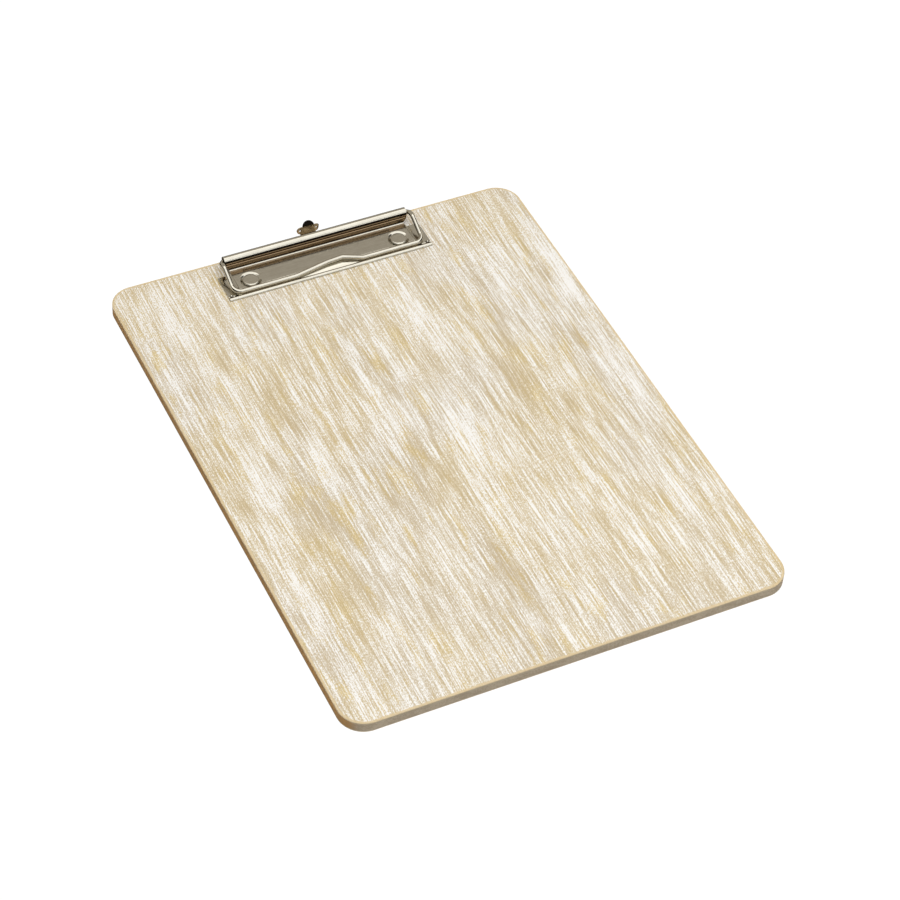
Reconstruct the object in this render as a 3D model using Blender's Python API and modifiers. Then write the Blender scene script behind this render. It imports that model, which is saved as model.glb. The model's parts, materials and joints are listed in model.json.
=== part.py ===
"""A4 clipboard: a veneered board, a sprung wire bail on a stamped base plate, and a pull-out hanging tab.

Metres. The origin is the centre of the board's back face. +Z points out of the writing face, +Y towards
the clip end, and +X to the right of someone reading the sheet. The clip's pieces are modelled in the frame
of the empty clip_origin: x across the board, y from the board's end edge (negative over the board), and
z up from the writing face.
"""

import math

import bmesh
import bpy
from mathutils import Vector

# ------------------------------------------------------------------ driving sizes
GAP = 0.00025  # between pieces that rest on each other

BOARD_WIDTH = 0.240
BOARD_LENGTH = 0.320
BOARD_THICKNESS = 0.0065
BOARD_CORNER_RADIUS = 0.0135
VENEER_THICKNESS = 0.0006

CLIP_SHIFT = -0.0011  # the clip sits this far from the board's centre line
SHEET = 0.0006  # steel sheet of the base plate and the tab
PLATE_FRONT = 0.0315  # from the board's end edge to the front of the bead
FLANGE_MARGIN = 0.0040  # flange's side edge beyond the bail arm's centre line
FLANGE_START = 0.0024  # back of the side flanges, forward of the rear wall's foot
FLANGE_CORNER_RADIUS = 0.002
BEAD_WIDTH = 0.0022
BEAD_HEIGHT = 0.0014  # outer, above the writing face
VALLEY_WIDTH = 0.0014  # flat groove behind the bead, where the bail's front bar lands
PLATEAU_INSET = 0.0021  # plateau's side short of the barrel's end
PLATEAU_RISE = 0.0009  # plateau above the flanges
PLATEAU_RAMP = 0.0034  # run of the slope from the plateau to the valley
PLATEAU_SIDE_RUN = 0.0008
WALL_OFFSET = 0.0032  # foot of the rear wall, forward of the hinge axis
WALL_LEAN = 0.0010  # how far the rear wall leans back over its height

BARREL_SETBACK = 0.0068  # hinge axis from the board's end edge
BARREL_HEIGHT = 0.0065  # hinge axis above the writing face
BARREL_CLEARANCE = 0.00065  # between the bail's tail and the roll's inside
BARREL_HALF_LENGTH = 0.0537
BARREL_LIP_ANGLE = math.radians(-38)  # free edge of the roll, below the horizontal
KNUCKLE_LENGTH = 0.0109
KNUCKLE_START_ANGLE = math.radians(-15)  # where a knuckle's straight lip leaves the roll
KNUCKLE_LIP = 0.0011
KNUCKLE_RELIEF = 0.0004

RIVET_SPACING = 0.087
RIVET_HEAD_FRONT = 0.0254  # from the board's end edge to the front of a head, clear of the bail's front bar
RIVET_HEAD_RADIUS = 0.0045
RIVET_HEAD_HEIGHT = 0.0008
RIVET_RIM_RADIUS = 0.0006
RIVET_CROWN = 0.00015
RIVET_SHANK_RADIUS = 0.0019
RIVET_TAIL_RADIUS = 0.0033
RIVET_TAIL_HEIGHT = 0.0007
DIMPLE_DEPTH = 0.0006
DIMPLE_MARGIN = 0.0009  # dimple radius over the rivet head's
WASHER_RADIUS = 0.0045
WASHER_THICKNESS = 0.0007
TAIL_RECESS = 0.0002  # rivet tail below the board's back face
CORNER_STUD_RADIUS = 0.0013
CORNER_STUD_TOP_RADIUS = 0.0006
CORNER_STUD_HEIGHT = 0.0008
CORNER_STUD_INSET = 0.0018  # stud centre from the flange's side edge

WIRE_RADIUS = 0.00125
BAIL_SIDE_CLEARANCE = 0.00055  # between an arm and the barrel's end
BAIL_TAIL_LENGTH = 0.0152  # tail inside the barrel
BAIL_HUMP_REACH = 0.0056  # arm's highest point, forward of the hinge axis
BAIL_HUMP_RISE = 0.0014
BAIL_KNEE_REACH = 0.0160  # where the arm flattens towards the front bar
BAIL_KNEE_DROP = 0.0033
BAIL_TAIL_BEND = 0.0030
BAIL_HUMP_BEND = 0.0045
BAIL_KNEE_BEND = 0.0080
BAIL_FRONT_BEND = 0.0045
WAVE_LEFT = -0.0200
WAVE_SHOULDER = -0.0010
WAVE_CREST = 0.0082
WAVE_RIGHT = 0.0190
WAVE_SHOULDER_RISE = 0.0030  # along the wave's own sloping plane
WAVE_CREST_RISE = 0.0036
WAVE_TILT = math.radians(20)
WAVE_SOFT_BEND = 0.0220
WAVE_TIGHT_BEND = 0.0030

SPRING_WIRE_RADIUS = 0.00025
SPRING_COIL_RADIUS = 0.00135
SPRING_TURNS = 9
SPRING_COIL_LENGTH = 0.0090
SPRING_LEG = 0.0014

TAB_STEM_HALF_WIDTH = 0.0045
TAB_STOP_HALF_WIDTH = 0.0075
TAB_STOP_LENGTH = 0.0020
TAB_TRAVEL = 0.0080
TAB_HOLE_RADIUS = 0.0025
TAB_HOLE_SETBACK = 0.0028  # hole centre from the board's end edge, tab pushed in
TAB_BEND_START = 0.0018  # where the stem turns up, beyond the board's end edge
TAB_BEND_RADIUS = 0.0008
TAB_PULL_RISE = 0.0003  # pull's lower edge above the end of that bend
TAB_PULL_HEIGHT = 0.0046
TAB_PULL_FLAT_HALF_WIDTH = 0.0047
TAB_EAR_BEND = 0.0020
TAB_EAR_ANGLE = math.radians(55)
TAB_EYE_RADIUS = 0.0006
TAB_EYE_OFFSET = 0.0048  # eye centre from the tab's centre line, along the sheet
TAB_NOSE_RADIUS = 0.0034
TAB_NOSE_BEND = 0.0012
TAB_NOSE_ANGLE = math.radians(30)
TAB_NOSE_LENGTH = 0.0031  # flat length above the pull
TAB_LIFT = 0.0003  # tab's underside above the writing face
LUG_WIDTH = 0.0026
LUG_LENGTH = 0.0012

# ------------------------------------------------------------------ sizes that follow
CORE_THICKNESS = BOARD_THICKNESS - 2 * (VENEER_THICKNESS + GAP)
FLANGE_Z = GAP + SHEET / 2  # mid-surface of the flanges, above the writing face
PLATEAU_Z = FLANGE_Z + PLATEAU_RISE
PLATEAU_TOP = PLATEAU_Z + SHEET / 2
PLATEAU_UNDERSIDE = PLATEAU_Z - SHEET / 2
BARREL_RADIUS = WIRE_RADIUS + BARREL_CLEARANCE + SHEET
ROLL_RADIUS = BARREL_RADIUS - SHEET / 2
BAIL_HALF_WIDTH = BARREL_HALF_LENGTH + BAIL_SIDE_CLEARANCE + WIRE_RADIUS
BAIL_TAIL_INNER = BARREL_HALF_LENGTH - BAIL_TAIL_LENGTH
PLATE_HALF_WIDTH = BAIL_HALF_WIDTH + FLANGE_MARGIN
PLATEAU_HALF_WIDTH = BARREL_HALF_LENGTH - PLATEAU_INSET
PLATEAU_BACK = BARREL_SETBACK + WALL_OFFSET
FLANGE_END = PLATEAU_BACK + FLANGE_START
SHELF_Z = BARREL_HEIGHT - ROLL_RADIUS
KNUCKLE_INNER = BARREL_HALF_LENGTH - KNUCKLE_LENGTH
BEAD_Z = BEAD_HEIGHT - SHEET / 2
VALLEY_FRONT = PLATE_FRONT - BEAD_WIDTH
VALLEY_BACK = VALLEY_FRONT - VALLEY_WIDTH
RAMP_TOP = VALLEY_BACK - PLATEAU_RAMP
FRONT_BAR_SETBACK = VALLEY_FRONT - WIRE_RADIUS
FRONT_BAR_Z = FLANGE_Z + SHEET / 2 + GAP + WIRE_RADIUS
HOLE_RADIUS = RIVET_SHANK_RADIUS + GAP
RIVET_SETBACK = RIVET_HEAD_FRONT - RIVET_HEAD_RADIUS
DIMPLE_RADIUS = RIVET_HEAD_RADIUS + DIMPLE_MARGIN
DIMPLE_FLOOR = PLATEAU_TOP - DIMPLE_DEPTH
RIVET_SEAT = DIMPLE_FLOOR + GAP
WASHER_BOTTOM = -BOARD_THICKNESS + TAIL_RECESS + RIVET_TAIL_HEIGHT + GAP
WASHER_TOP = WASHER_BOTTOM + WASHER_THICKNESS
COUNTERBORE_FLOOR = WASHER_TOP + GAP
COUNTERBORE_RADIUS = WASHER_RADIUS + GAP
TAB_Z = TAB_LIFT + SHEET / 2
LUG_BACK = PLATEAU_BACK + SHEET
STOP_BACK = LUG_BACK + LUG_LENGTH + GAP + TAB_TRAVEL
TAB_BEND_LENGTH = TAB_BEND_RADIUS * math.pi / 2
PULL_NEAR = TAB_BEND_START + TAB_BEND_LENGTH + TAB_PULL_RISE  # on the flat blank
PULL_FAR = PULL_NEAR + TAB_PULL_HEIGHT
CUT_MARGIN = 0.001  # how far a cutter runs past the faces that it cuts
WELD = 1e-7  # points nearer than this are one point
SCREW_WELD = 1e-6  # the same, where a turned profile meets its axis
RIVET_PLACES = (-RIVET_SPACING / 2, RIVET_SPACING / 2)
BOSS_TOP = PLATEAU_Z - SHEET / 4  # inside the plateau's sheet

NICKEL = ("nickel_plated_steel", (0.66, 0.63, 0.57), 0.18, 1.0)
SPRING_STEEL = ("spring_steel", (0.62, 0.60, 0.56), 0.25, 1.0)
WHITEWASHED_OAK = ("whitewashed_oak", (0.84, 0.77, 0.66), 0.75, 0.0)
FIBREBOARD = ("fibreboard", (0.72, 0.65, 0.55), 0.85, 0.0)


# ------------------------------------------------------------------ scene helpers
def clear_scene():
    for obj in list(bpy.data.objects):
        bpy.data.objects.remove(obj, do_unlink=True)


def new_collection(name):
    collection = bpy.data.collections.new(name)
    bpy.context.scene.collection.children.link(collection)
    return collection


def material(finish):
    name, colour, roughness, metallic = finish
    made = bpy.data.materials.get(name)
    if made is None:
        made = bpy.data.materials.new(name)
        made.use_nodes = True
        shader = made.node_tree.nodes["Principled BSDF"]
        shader.inputs["Base Color"].default_value = (*colour, 1.0)
        shader.inputs["Roughness"].default_value = roughness
        shader.inputs["Metallic"].default_value = metallic
    return made


def empty(name, parent, place):
    made = bpy.data.objects.new(name, None)
    made.parent = parent
    made.location = place
    PARTS.objects.link(made)
    return made


def add_mesh(name, mesh, parent, finish=None):
    """Link a mesh as a part or, with no finish, as a cutter."""
    made = bpy.data.objects.new(name, mesh)
    made.parent = parent
    if finish is None:
        CUTTERS.objects.link(made)
        made.hide_render = True
        made.display_type = "WIRE"
    else:
        PARTS.objects.link(made)
        mesh.materials.append(material(finish))
    return made


def mesh_from_bmesh(name, bm):
    mesh = bpy.data.meshes.new(name)
    bm.to_mesh(mesh)
    bm.free()
    return mesh


def boolean(target, tool, operation):
    modifier = target.modifiers.new(tool.name, "BOOLEAN")
    modifier.operation = operation
    modifier.object = tool


# ------------------------------------------------------------------ shape helpers
def arc(centre_x, centre_y, radius, start, end, steps):
    """Points of a plane arc, both ends included."""
    turns = (start + (end - start) * step / steps for step in range(steps + 1))
    return [Vector((centre_x + radius * math.cos(a), centre_y + radius * math.sin(a), 0)) for a in turns]


def rounded_path(corners, steps=4):
    """Points of the path through (point, bend radius) corners, each bend as an arc."""
    points = [Vector(corners[0][0])]
    for (before, _), (corner, radius), (after, _) in zip(corners, corners[1:], corners[2:]):
        corner = Vector(corner)
        back = (Vector(before) - corner).normalized()
        ahead = (Vector(after) - corner).normalized()
        half = back.angle(ahead) / 2
        centre = corner + (back + ahead).normalized() * radius / math.sin(half)
        first = corner + back * radius / math.tan(half)
        last = corner + ahead * radius / math.tan(half)
        turn = (first - centre).rotation_difference(last - centre)
        for step in range(steps + 1):
            part = turn.copy()
            part.angle = turn.angle * step / steps
            points.append(centre + part @ (first - centre))
    points.append(Vector(corners[-1][0]))
    return points


def rounded_rectangle(width, length, radius, steps=8):
    """Outline of a rectangle with round corners, centred, anticlockwise."""
    outline = []
    for quarter, (side_x, side_y) in enumerate(((1, 1), (-1, 1), (-1, -1), (1, -1))):
        start = quarter * math.pi / 2
        centre_x = side_x * (width / 2 - radius)
        centre_y = side_y * (length / 2 - radius)
        outline += arc(centre_x, centre_y, radius, start, start + math.pi / 2, steps)
    return outline


def mesh_of_curve(curve):
    """The evaluated mesh of a curve, its loose caps welded. The curve is removed."""
    carrier = bpy.data.objects.new(curve.name, curve)
    bpy.context.scene.collection.objects.link(carrier)
    graph = bpy.context.evaluated_depsgraph_get()
    mesh = bpy.data.meshes.new_from_object(carrier.evaluated_get(graph))
    bpy.data.objects.remove(carrier, do_unlink=True)
    bm = bmesh.new()
    bm.from_mesh(mesh)
    bmesh.ops.remove_doubles(bm, verts=bm.verts, dist=WELD)
    bm.to_mesh(mesh)
    bm.free()
    return mesh


def flat_curve(name, outlines, half_depth):
    """A filled plane shape: the first outline, with each other one as a hole in it."""
    curve = bpy.data.curves.new(name, "CURVE")
    curve.dimensions = "2D"
    curve.fill_mode = "BOTH"
    curve.extrude = half_depth
    for outline in outlines:
        spline = curve.splines.new("POLY")
        spline.points.add(len(outline) - 1)
        spline.use_cyclic_u = True
        for point, place in zip(spline.points, outline):
            point.co = (place.x, place.y, 0, 1)
    return mesh_of_curve(curve)


def slab(name, outline, bottom, top, parent, finish):
    """A plate of the outline between two heights."""
    made = add_mesh(name, flat_curve(name, [outline], (top - bottom) / 2), parent, finish)
    made.location.z = (bottom + top) / 2
    return made


def cylinder(name, radius, bottom, top, place, parent, segments=32):
    """A cutter or a boss, upright at place (x, y)."""
    bm = bmesh.new()
    bmesh.ops.create_cone(
        bm, cap_ends=True, segments=segments, radius1=radius, radius2=radius, depth=top - bottom
    )
    made = add_mesh(name, mesh_from_bmesh(name, bm), parent)
    made.location = (place[0], place[1], (bottom + top) / 2)
    return made


def box(name, low, high, parent):
    """A cutter or a lug between two corners."""
    low, high = Vector(low), Vector(high)
    bm = bmesh.new()
    bmesh.ops.create_cube(bm, size=1)
    bmesh.ops.scale(bm, vec=high - low, verts=bm.verts)
    made = add_mesh(name, mesh_from_bmesh(name, bm), parent)
    made.location = (low + high) / 2
    return made


def turned(name, profile, parent, finish, segments=32):
    """A turned piece: a profile of (radius, height), run down its outer side."""
    bm = bmesh.new()
    verts = [bm.verts.new((radius, 0, height)) for radius, height in profile]
    for one, two in zip(verts, verts[1:]):
        bm.edges.new((one, two))
    mesh = mesh_from_bmesh(name, bm)
    made = add_mesh(name, mesh, parent, finish)
    screw = made.modifiers.new("turn", "SCREW")
    screw.steps = screw.render_steps = segments
    screw.use_merge_vertices = True
    screw.merge_threshold = SCREW_WELD
    screw.use_smooth_shade = True
    return made


def wire(name, points, radius, parent, finish):
    """A round wire along the points, its ends capped."""
    curve = bpy.data.curves.new(name, "CURVE")
    curve.dimensions = "3D"
    curve.bevel_depth = radius
    curve.bevel_resolution = 2
    curve.use_fill_caps = True
    spline = curve.splines.new("POLY")
    spline.points.add(len(points) - 1)
    for point, place in zip(spline.points, points):
        point.co = (*place, 1)
    curve.materials.append(material(finish))
    made = bpy.data.objects.new(name, curve)
    made.parent = parent
    PARTS.objects.link(made)
    return made


def extrude_row(bm, row, places):
    """Extrude the edges along a row of points, and put the new ones, in order of x, at places."""
    edges = [bm.edges.get(pair) for pair in zip(row, row[1:])]
    made = bmesh.ops.extrude_edge_only(bm, edges=edges)["geom"]
    new_row = sorted((item for item in made if isinstance(item, bmesh.types.BMVert)), key=lambda v: v.co.x)
    for vert, place in zip(new_row, places):
        vert.co = place
    return new_row


# ------------------------------------------------------------------ board
def board_layer(name, bottom, top, finish):
    """One layer of the board, with its rivet holes. Heights are from the back face."""
    outline = rounded_rectangle(BOARD_WIDTH, BOARD_LENGTH, BOARD_CORNER_RADIUS)
    layer = slab(name, outline, bottom, top, None, finish)
    for x in RIVET_PLACES:
        spot = (CLIP_SHIFT + x, BOARD_LENGTH / 2 - RIVET_SETBACK)
        low, high = bottom - CUT_MARGIN, top + CUT_MARGIN
        boolean(layer, cylinder(name + "_rivet_hole", HOLE_RADIUS, low, high, spot, None), "DIFFERENCE")
        floor = BOARD_THICKNESS + COUNTERBORE_FLOOR
        if bottom < floor:
            sink = cylinder(name + "_counterbore", COUNTERBORE_RADIUS, low, min(floor, high), spot, None)
            boolean(layer, sink, "DIFFERENCE")
    return layer


def build_board():
    core_bottom = VENEER_THICKNESS + GAP
    core_top = core_bottom + CORE_THICKNESS
    board_layer("back_veneer", 0, VENEER_THICKNESS, WHITEWASHED_OAK)
    board_layer("board_core", core_bottom, core_top, FIBREBOARD)
    board_layer("face_veneer", core_top + GAP, BOARD_THICKNESS, WHITEWASHED_OAK)


# ------------------------------------------------------------------ base plate
def front_profile():
    """Section from the bead's free edge to the foot of the ramp, as (setback, height)."""
    bead_front = PLATE_FRONT - SHEET / 2
    bead_bend = (BEAD_Z - FLANGE_Z) / 2 + SHEET / 2
    corners = [
        ((bead_front, GAP, 0), 0),
        ((bead_front, BEAD_Z, 0), bead_bend),
        ((VALLEY_FRONT + SHEET, BEAD_Z, 0), SHEET / 2),
        ((VALLEY_FRONT, FLANGE_Z, 0), SHEET / 2),
        ((VALLEY_BACK, FLANGE_Z, 0), 0),
    ]
    return rounded_path(corners, steps=3)


def barrel_profile():
    """Section from the top of the rear wall round to where the knuckles' lips begin."""
    shelf_front = PLATEAU_BACK - WALL_LEAN
    corners = [
        ((PLATEAU_BACK, PLATEAU_Z, 0), 0),
        ((shelf_front, SHELF_Z, 0), SHEET / 2),
        ((BARREL_SETBACK, SHELF_Z, 0), 0),
    ]
    start, end = -math.pi / 2, KNUCKLE_START_ANGLE - 2 * math.pi
    roll = arc(BARREL_SETBACK, BARREL_HEIGHT, ROLL_RADIUS, start, end, 24)
    return rounded_path(corners, steps=3)[1:] + roll[1:]


def plate_columns():
    side_foot = PLATEAU_HALF_WIDTH + PLATEAU_SIDE_RUN
    slit = KNUCKLE_INNER + KNUCKLE_RELIEF
    right = [KNUCKLE_INNER, slit, PLATEAU_HALF_WIDTH, side_foot, PLATE_HALF_WIDTH]
    return [-x for x in reversed(right)] + right


def plate_row(columns, setback, middle, side):
    """A row of the sheet: columns over the plateau at height middle, the others at height side."""
    inner = PLATEAU_HALF_WIDTH + GAP
    return [Vector((x, -setback, middle if abs(x) < inner else side)) for x in columns]


def base_plate_sheet():
    """Mid-surface of the stamping: bead, valley, ramp, plateau, flanges, rear wall and rolled barrel."""
    columns = plate_columns()
    bm = bmesh.new()
    front = front_profile()
    row = [bm.verts.new((x, -front[0].x, front[0].y)) for x in columns]
    for pair in zip(row, row[1:]):
        bm.edges.new(pair)
    for point in front[1:]:
        row = extrude_row(bm, row, plate_row(columns, point.x, point.y, point.y))
    for setback in (RAMP_TOP, FLANGE_END):
        row = extrude_row(bm, row, plate_row(columns, setback, PLATEAU_Z, FLANGE_Z))
    flange_ends = [row[0], row[-1]]
    row = extrude_row(bm, row[1:-1], plate_row(columns[1:-1], PLATEAU_BACK, PLATEAU_Z, FLANGE_Z))
    row = row[1:-1]
    middle = columns[2:-2]
    for point in barrel_profile():
        reach = PLATEAU_HALF_WIDTH if point.y < SHELF_Z - SHEET else BARREL_HALF_LENGTH
        spread = [math.copysign(reach, x) if abs(x) == PLATEAU_HALF_WIDTH else x for x in middle]
        row = extrude_row(bm, row, [Vector((x, -point.x, point.y)) for x in spread])
    lip = arc(
        BARREL_SETBACK, BARREL_HEIGHT, ROLL_RADIUS, KNUCKLE_START_ANGLE, BARREL_LIP_ANGLE, 2
    )
    lip_row = row[2:4]
    for point in lip[1:]:
        lip_row = extrude_row(bm, lip_row, [Vector((v.co.x, -point.x, point.y)) for v in lip_row])
    down = Vector((0, -math.sin(KNUCKLE_START_ANGLE), -math.cos(KNUCKLE_START_ANGLE)))
    for knuckle_row in (row[:2], row[4:]):
        extrude_row(bm, knuckle_row, [v.co + down * KNUCKLE_LIP for v in knuckle_row])
    bmesh.ops.bevel(
        bm, geom=flange_ends, affect="VERTICES", offset=FLANGE_CORNER_RADIUS, segments=4, profile=0.5
    )
    bmesh.ops.recalc_face_normals(bm, faces=bm.faces)
    return mesh_from_bmesh("base_plate", bm)


def build_base_plate():
    plate = add_mesh("base_plate", base_plate_sheet(), CLIP, NICKEL)
    solidify = plate.modifiers.new("sheet", "SOLIDIFY")
    solidify.thickness = SHEET
    solidify.offset = 0
    solidify.use_even_offset = True
    for x in RIVET_PLACES:
        spot = (x, -RIVET_SETBACK)
        boss_radius = DIMPLE_RADIUS + SHEET
        boss_floor = DIMPLE_FLOOR - SHEET
        boss = cylinder("dimple_boss", boss_radius, boss_floor, BOSS_TOP, spot, CLIP)
        dimple = cylinder("dimple", DIMPLE_RADIUS, DIMPLE_FLOOR, PLATEAU_TOP + CUT_MARGIN, spot, CLIP)
        hole = cylinder("plate_hole", HOLE_RADIUS, -CUT_MARGIN, PLATEAU_TOP + CUT_MARGIN, spot, CLIP)
        boolean(plate, boss, "UNION")
        boolean(plate, dimple, "DIFFERENCE")
        boolean(plate, hole, "DIFFERENCE")
    for side in (-1, 1):
        lug_inner = TAB_STEM_HALF_WIDTH + GAP
        edges = sorted((side * lug_inner, side * (lug_inner + LUG_WIDTH)))
        low = (edges[0], -LUG_BACK - LUG_LENGTH, GAP)
        high = (edges[1], -LUG_BACK, PLATEAU_Z)
        boolean(plate, box("tab_lug", low, high, CLIP), "UNION")
        stud = corner_stud()
        stud.location = (side * (PLATE_HALF_WIDTH - CORNER_STUD_INSET), -FRONT_BAR_SETBACK, FLANGE_Z)
        boolean(plate, stud, "UNION")


def corner_stud():
    """A low pressed stud that keeps the bail central on its plate."""
    bm = bmesh.new()
    height = CORNER_STUD_HEIGHT + SHEET / 2
    bmesh.ops.create_cone(
        bm, cap_ends=True, segments=16, depth=height,
        radius1=CORNER_STUD_RADIUS, radius2=CORNER_STUD_TOP_RADIUS,
    )
    bmesh.ops.translate(bm, vec=(0, 0, height / 2), verts=bm.verts)
    return add_mesh("corner_stud", mesh_from_bmesh("corner_stud", bm), CLIP)


# ------------------------------------------------------------------ rivets and washers
def build_rivet(side, x):
    """A crowned head, a plain shank through the board, and a tail set in the counterbore."""
    place = empty(side + "_rivet_axis", CLIP, (x, -RIVET_SETBACK, 0))
    head_top = RIVET_SEAT + RIVET_HEAD_HEIGHT
    rim = arc(
        RIVET_HEAD_RADIUS - RIVET_RIM_RADIUS, head_top - RIVET_CROWN - RIVET_RIM_RADIUS,
        RIVET_RIM_RADIUS, math.pi / 2, 0, 4,
    )
    tail_top = WASHER_BOTTOM - GAP
    tail_bottom = tail_top - RIVET_TAIL_HEIGHT
    profile = [(0, head_top)] + [(point.x, point.y) for point in rim] + [
        (RIVET_HEAD_RADIUS, RIVET_SEAT),
        (RIVET_SHANK_RADIUS, RIVET_SEAT),
        (RIVET_SHANK_RADIUS, tail_top),
        (RIVET_TAIL_RADIUS, tail_top),
        (RIVET_TAIL_RADIUS, tail_bottom),
        (0, tail_bottom),
    ]
    turned(side + "_rivet", profile, place, NICKEL)
    washer = [
        (HOLE_RADIUS, WASHER_TOP),
        (WASHER_RADIUS, WASHER_TOP),
        (WASHER_RADIUS, WASHER_BOTTOM),
        (HOLE_RADIUS, WASHER_BOTTOM),
        (HOLE_RADIUS, WASHER_TOP),
    ]
    turned(side + "_rivet_washer", washer, place, NICKEL)


# ------------------------------------------------------------------ bail and springs
def bail_arm(side):
    """Corners of one arm, from its tail's inner end to where the front bar begins."""
    x = side * BAIL_HALF_WIDTH
    front_y = BARREL_SETBACK - FRONT_BAR_SETBACK
    front_z = FRONT_BAR_Z - BARREL_HEIGHT
    return [
        ((side * BAIL_TAIL_INNER, 0, 0), 0),
        ((x, 0, 0), BAIL_TAIL_BEND),
        ((x, -BAIL_HUMP_REACH, BAIL_HUMP_RISE), BAIL_HUMP_BEND),
        ((x, -BAIL_KNEE_REACH, -BAIL_KNEE_DROP), BAIL_KNEE_BEND),
        ((x, front_y, front_z), BAIL_FRONT_BEND),
    ]


def wave_corner(x, rise, bend):
    """A corner of the front bar's wave, rise along the plane that slopes back and up from the bar."""
    y = BARREL_SETBACK - FRONT_BAR_SETBACK + rise * math.cos(WAVE_TILT)
    z = FRONT_BAR_Z - BARREL_HEIGHT + rise * math.sin(WAVE_TILT)
    return ((x, y, z), bend)


def build_bail():
    """Spring wire: two tails in the barrel, two arms over it, and the front bar with its finger wave."""
    wave = [
        wave_corner(WAVE_LEFT, 0, WAVE_SOFT_BEND),
        wave_corner(WAVE_SHOULDER, WAVE_SHOULDER_RISE, WAVE_SOFT_BEND),
        wave_corner(WAVE_CREST, WAVE_CREST_RISE, WAVE_TIGHT_BEND),
        wave_corner(WAVE_RIGHT, 0, WAVE_TIGHT_BEND),
    ]
    corners = bail_arm(-1) + wave + bail_arm(1)[::-1]
    wire("wire_bail", rounded_path(corners), WIRE_RADIUS, AXIS, SPRING_STEEL)


def build_spring(side, direction):
    """A torsion spring inside the barrel, its outer leg just short of the bail's tail."""
    outer = BAIL_TAIL_INNER - GAP
    coil_start = outer - SPRING_LEG
    per_turn = 10
    count = SPRING_TURNS * per_turn
    points = [Vector((direction * outer, SPRING_COIL_RADIUS, 0))]
    for step in range(count + 1):
        angle = 2 * math.pi * step / per_turn
        x = direction * (coil_start - SPRING_COIL_LENGTH * step / count)
        y = SPRING_COIL_RADIUS * math.cos(angle)
        z = SPRING_COIL_RADIUS * math.sin(angle)
        points.append(Vector((x, y, z)))
    last = points[-1]
    points.append(last - Vector((direction * SPRING_LEG, 0, 0)))
    wire(side + "_torsion_spring", points, SPRING_WIRE_RADIUS, AXIS, SPRING_STEEL)


# ------------------------------------------------------------------ hanging tab
def tab_outline():
    """Flat blank of the tab: stop, stem, pull with round ends, and nose. y is from the end edge."""
    end_radius = TAB_PULL_HEIGHT / 2
    end_centre = TAB_PULL_FLAT_HALF_WIDTH + TAB_EAR_BEND * TAB_EAR_ANGLE - end_radius
    middle = PULL_NEAR + end_radius
    nose_centre = PULL_FAR + TAB_NOSE_LENGTH - TAB_NOSE_RADIUS
    nose_start = math.asin((PULL_FAR - nose_centre) / TAB_NOSE_RADIUS)
    right = [
        Vector((TAB_STOP_HALF_WIDTH, -STOP_BACK - TAB_STOP_LENGTH, 0)),
        Vector((TAB_STOP_HALF_WIDTH, -STOP_BACK, 0)),
        Vector((TAB_STEM_HALF_WIDTH, -STOP_BACK, 0)),
        Vector((TAB_STEM_HALF_WIDTH, PULL_NEAR, 0)),
    ]
    right += arc(end_centre, middle, end_radius, -math.pi / 2, math.pi / 2, 8)
    right += arc(0, nose_centre, TAB_NOSE_RADIUS, nose_start, math.pi / 2, 6)[:-1]
    top = Vector((0, PULL_FAR + TAB_NOSE_LENGTH, 0))
    return right + [top] + [Vector((-point.x, point.y, 0)) for point in reversed(right)]


def bend(distance, radius, angle):
    """(run, rise) of a point that lies distance along a strip bent away from its start."""
    turned_by = min(distance / radius, angle)
    rest = distance - radius * turned_by
    run = radius * math.sin(turned_by) + rest * math.cos(turned_by)
    rise = radius * (1 - math.cos(turned_by)) + rest * math.sin(turned_by)
    return run, rise


def fold_tab(flat):
    """Where a point of the blank goes: ears and nose bent back, then the stem's end turned up."""
    x, y, behind = flat.x, flat.y, 0
    if y > PULL_NEAR - TAB_PULL_RISE / 2 and abs(x) > TAB_PULL_FLAT_HALF_WIDTH:
        run, behind = bend(abs(x) - TAB_PULL_FLAT_HALF_WIDTH, TAB_EAR_BEND, TAB_EAR_ANGLE)
        x = math.copysign(TAB_PULL_FLAT_HALF_WIDTH + run, x)
    if y > PULL_FAR:
        run, lean = bend(y - PULL_FAR, TAB_NOSE_BEND, TAB_NOSE_ANGLE)
        y, behind = PULL_FAR + run, behind + lean
    past = y - TAB_BEND_START
    if past <= 0:
        return Vector((x, y, 0))
    run, rise = bend(past, TAB_BEND_RADIUS, math.pi / 2)
    return Vector((x, TAB_BEND_START + run + behind, rise))


def tab_bend_lines():
    """Lines across the blank where it bends, as (place, normal)."""
    steps = 4
    lines = []
    for step in range(steps + 1):
        part = step / steps
        across = TAB_PULL_FLAT_HALF_WIDTH + TAB_EAR_BEND * TAB_EAR_ANGLE * part
        lines.append(((0, TAB_BEND_START + TAB_BEND_LENGTH * part, 0), (0, 1, 0)))
        lines.append(((0, PULL_FAR + TAB_NOSE_BEND * TAB_NOSE_ANGLE * part, 0), (0, 1, 0)))
        lines.append(((across, 0, 0), (1, 0, 0)))
        lines.append(((-across, 0, 0), (1, 0, 0)))
    return lines


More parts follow.
